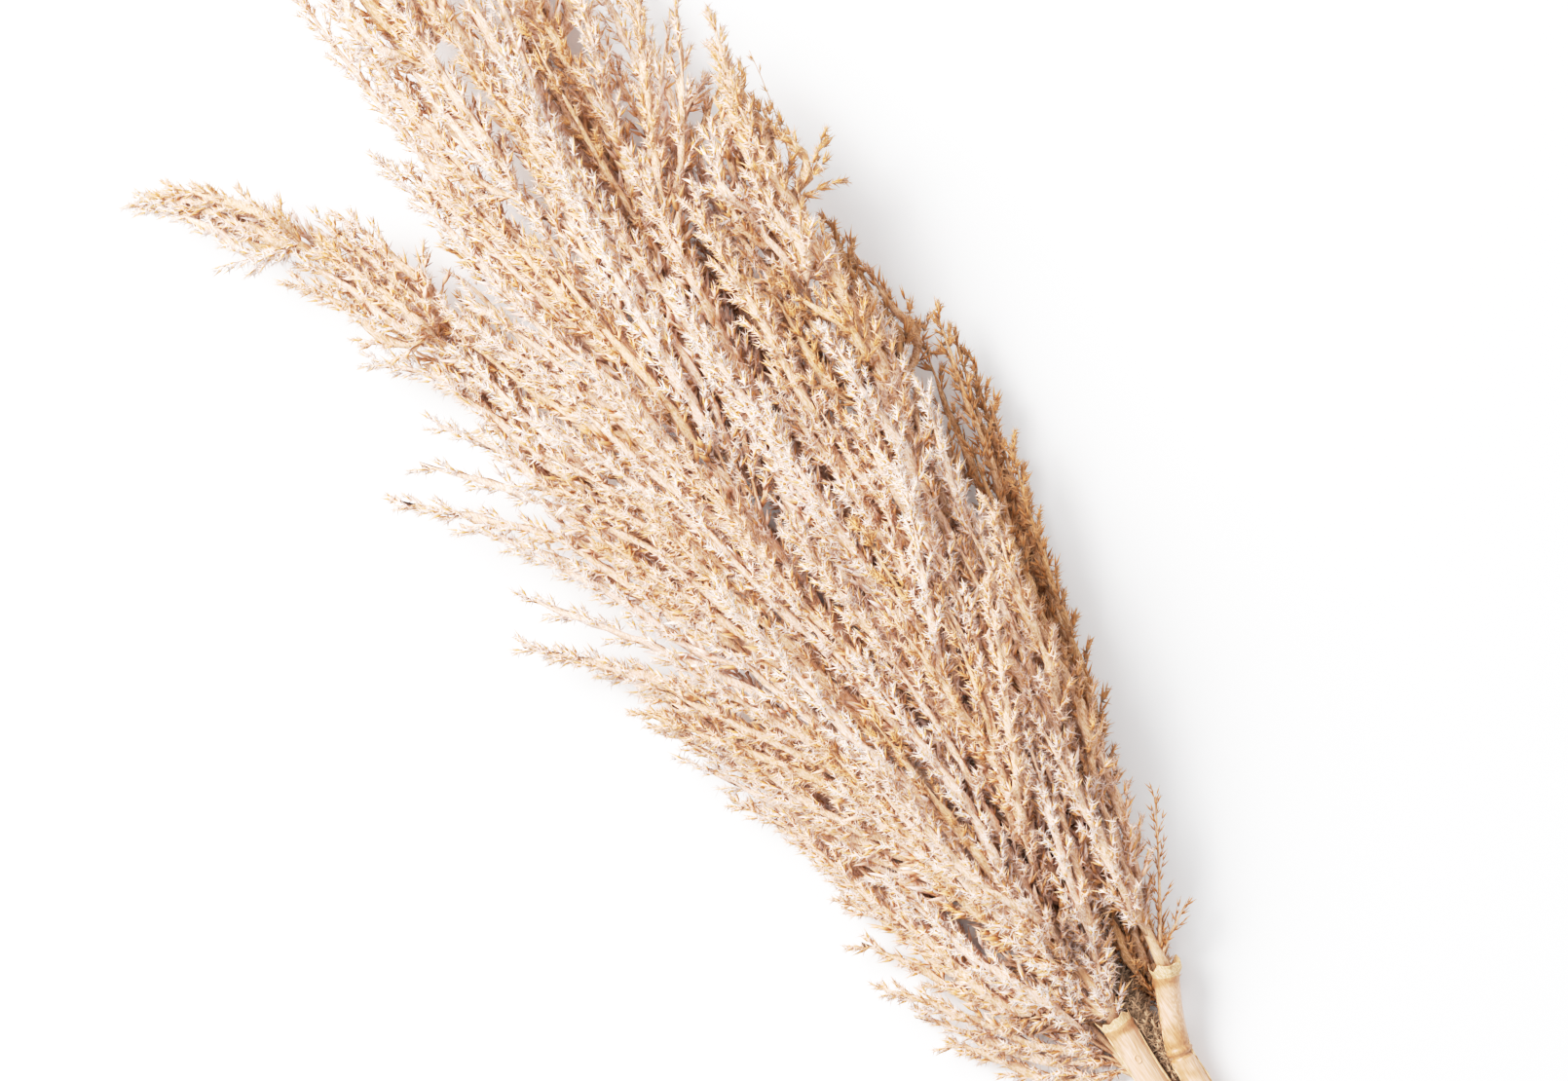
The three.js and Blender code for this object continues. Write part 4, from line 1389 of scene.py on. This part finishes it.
# The stage: white paper, a broad soft light from the upper left of the photo, and light from all round.
stage = {
    "paperSize": 12,
    "keySize": 1.9,
    "keyDistance": 2.6,
    "keyHeight": 43,
    "keyAhead": 0.45,
    "keyPower": 200,
    "keyColour": (1, 0.992, 0.98),
    "sky": 1.04,
    "skyColour": (0.985, 0.992, 1, 1),
    "white": 2.3,
    "toneCurve": [
        (0.1, 0.115), (0.3, 0.36), (0.47, 0.54), (0.69, 0.685), (0.95, 0.785), (1.26, 0.87), (1.6, 0.94),
    ],
    "cameraHeight": 2.6,
    "viewWidth": 0.644,
    "viewCentre": (0.0251, 0.0019),
    "viewLevel": 0.05,
    "imageUp": (0.5402, 0.8415),
}


def setStage():
    s, scene = stage, bpy.context.scene
    bm = bmesh.new()
    bmesh.ops.create_grid(bm, x_segments=1, y_segments=1, size=s["paperSize"] / 2)
    sheet = finishMesh(bm)
    sheet.materials.append(paper)
    floor = bpy.data.objects.new("paper", sheet)
    scene.collection.objects.link(floor)

    imageUp = Vector((*s["imageUp"], 0))
    imageRight = Vector((imageUp.y, -imageUp.x, 0))
    centre = Vector((*s["viewCentre"], s["viewLevel"]))
    lens = bpy.data.cameras.new("camera")
    lens.sensor_width = 36
    lens.lens = lens.sensor_width * s["cameraHeight"] / s["viewWidth"]
    lens.clip_end = 50
    camera = bpy.data.objects.new("camera", lens)
    turn = Matrix((imageRight, imageUp, Vector((0, 0, 1)))).transposed().to_4x4()
    camera.matrix_world = Matrix.Translation(centre + Vector((0, 0, s["cameraHeight"]))) @ turn
    scene.collection.objects.link(camera)
    scene.camera = camera

    light = bpy.data.lights.new("key", "AREA")
    light.shape = "DISK"
    light.size = s["keySize"]
    light.energy = s["keyPower"]
    light.color = s["keyColour"]
    key = bpy.data.objects.new("key", light)
    aside = (imageUp * s["keyAhead"] - imageRight).normalized()
    rise = math.radians(s["keyHeight"])
    offset = aside * math.cos(rise) + Vector((0, 0, math.sin(rise)))
    facing = offset.to_track_quat("Z", "Y").to_matrix().to_4x4()
    key.matrix_world = Matrix.Translation(centre + offset * s["keyDistance"]) @ facing
    scene.collection.objects.link(key)

    world = bpy.data.worlds.new("studio")
    world.use_nodes = True
    world.node_tree.nodes["Background"].inputs["Color"].default_value = s["skyColour"]
    world.node_tree.nodes["Background"].inputs["Strength"].default_value = s["sky"]
    scene.world = world
    scene.view_settings.view_transform = "Standard"
    scene.view_settings.use_curve_mapping = True
    film = scene.view_settings.curve_mapping
    film.white_level = [s["white"]] * 3
    everyChannel = film.curves[3]
    for level, shown in s["toneCurve"]:
        everyChannel.points.new(level / s["white"], shown)
    film.update()


setStage()
print("stage set")
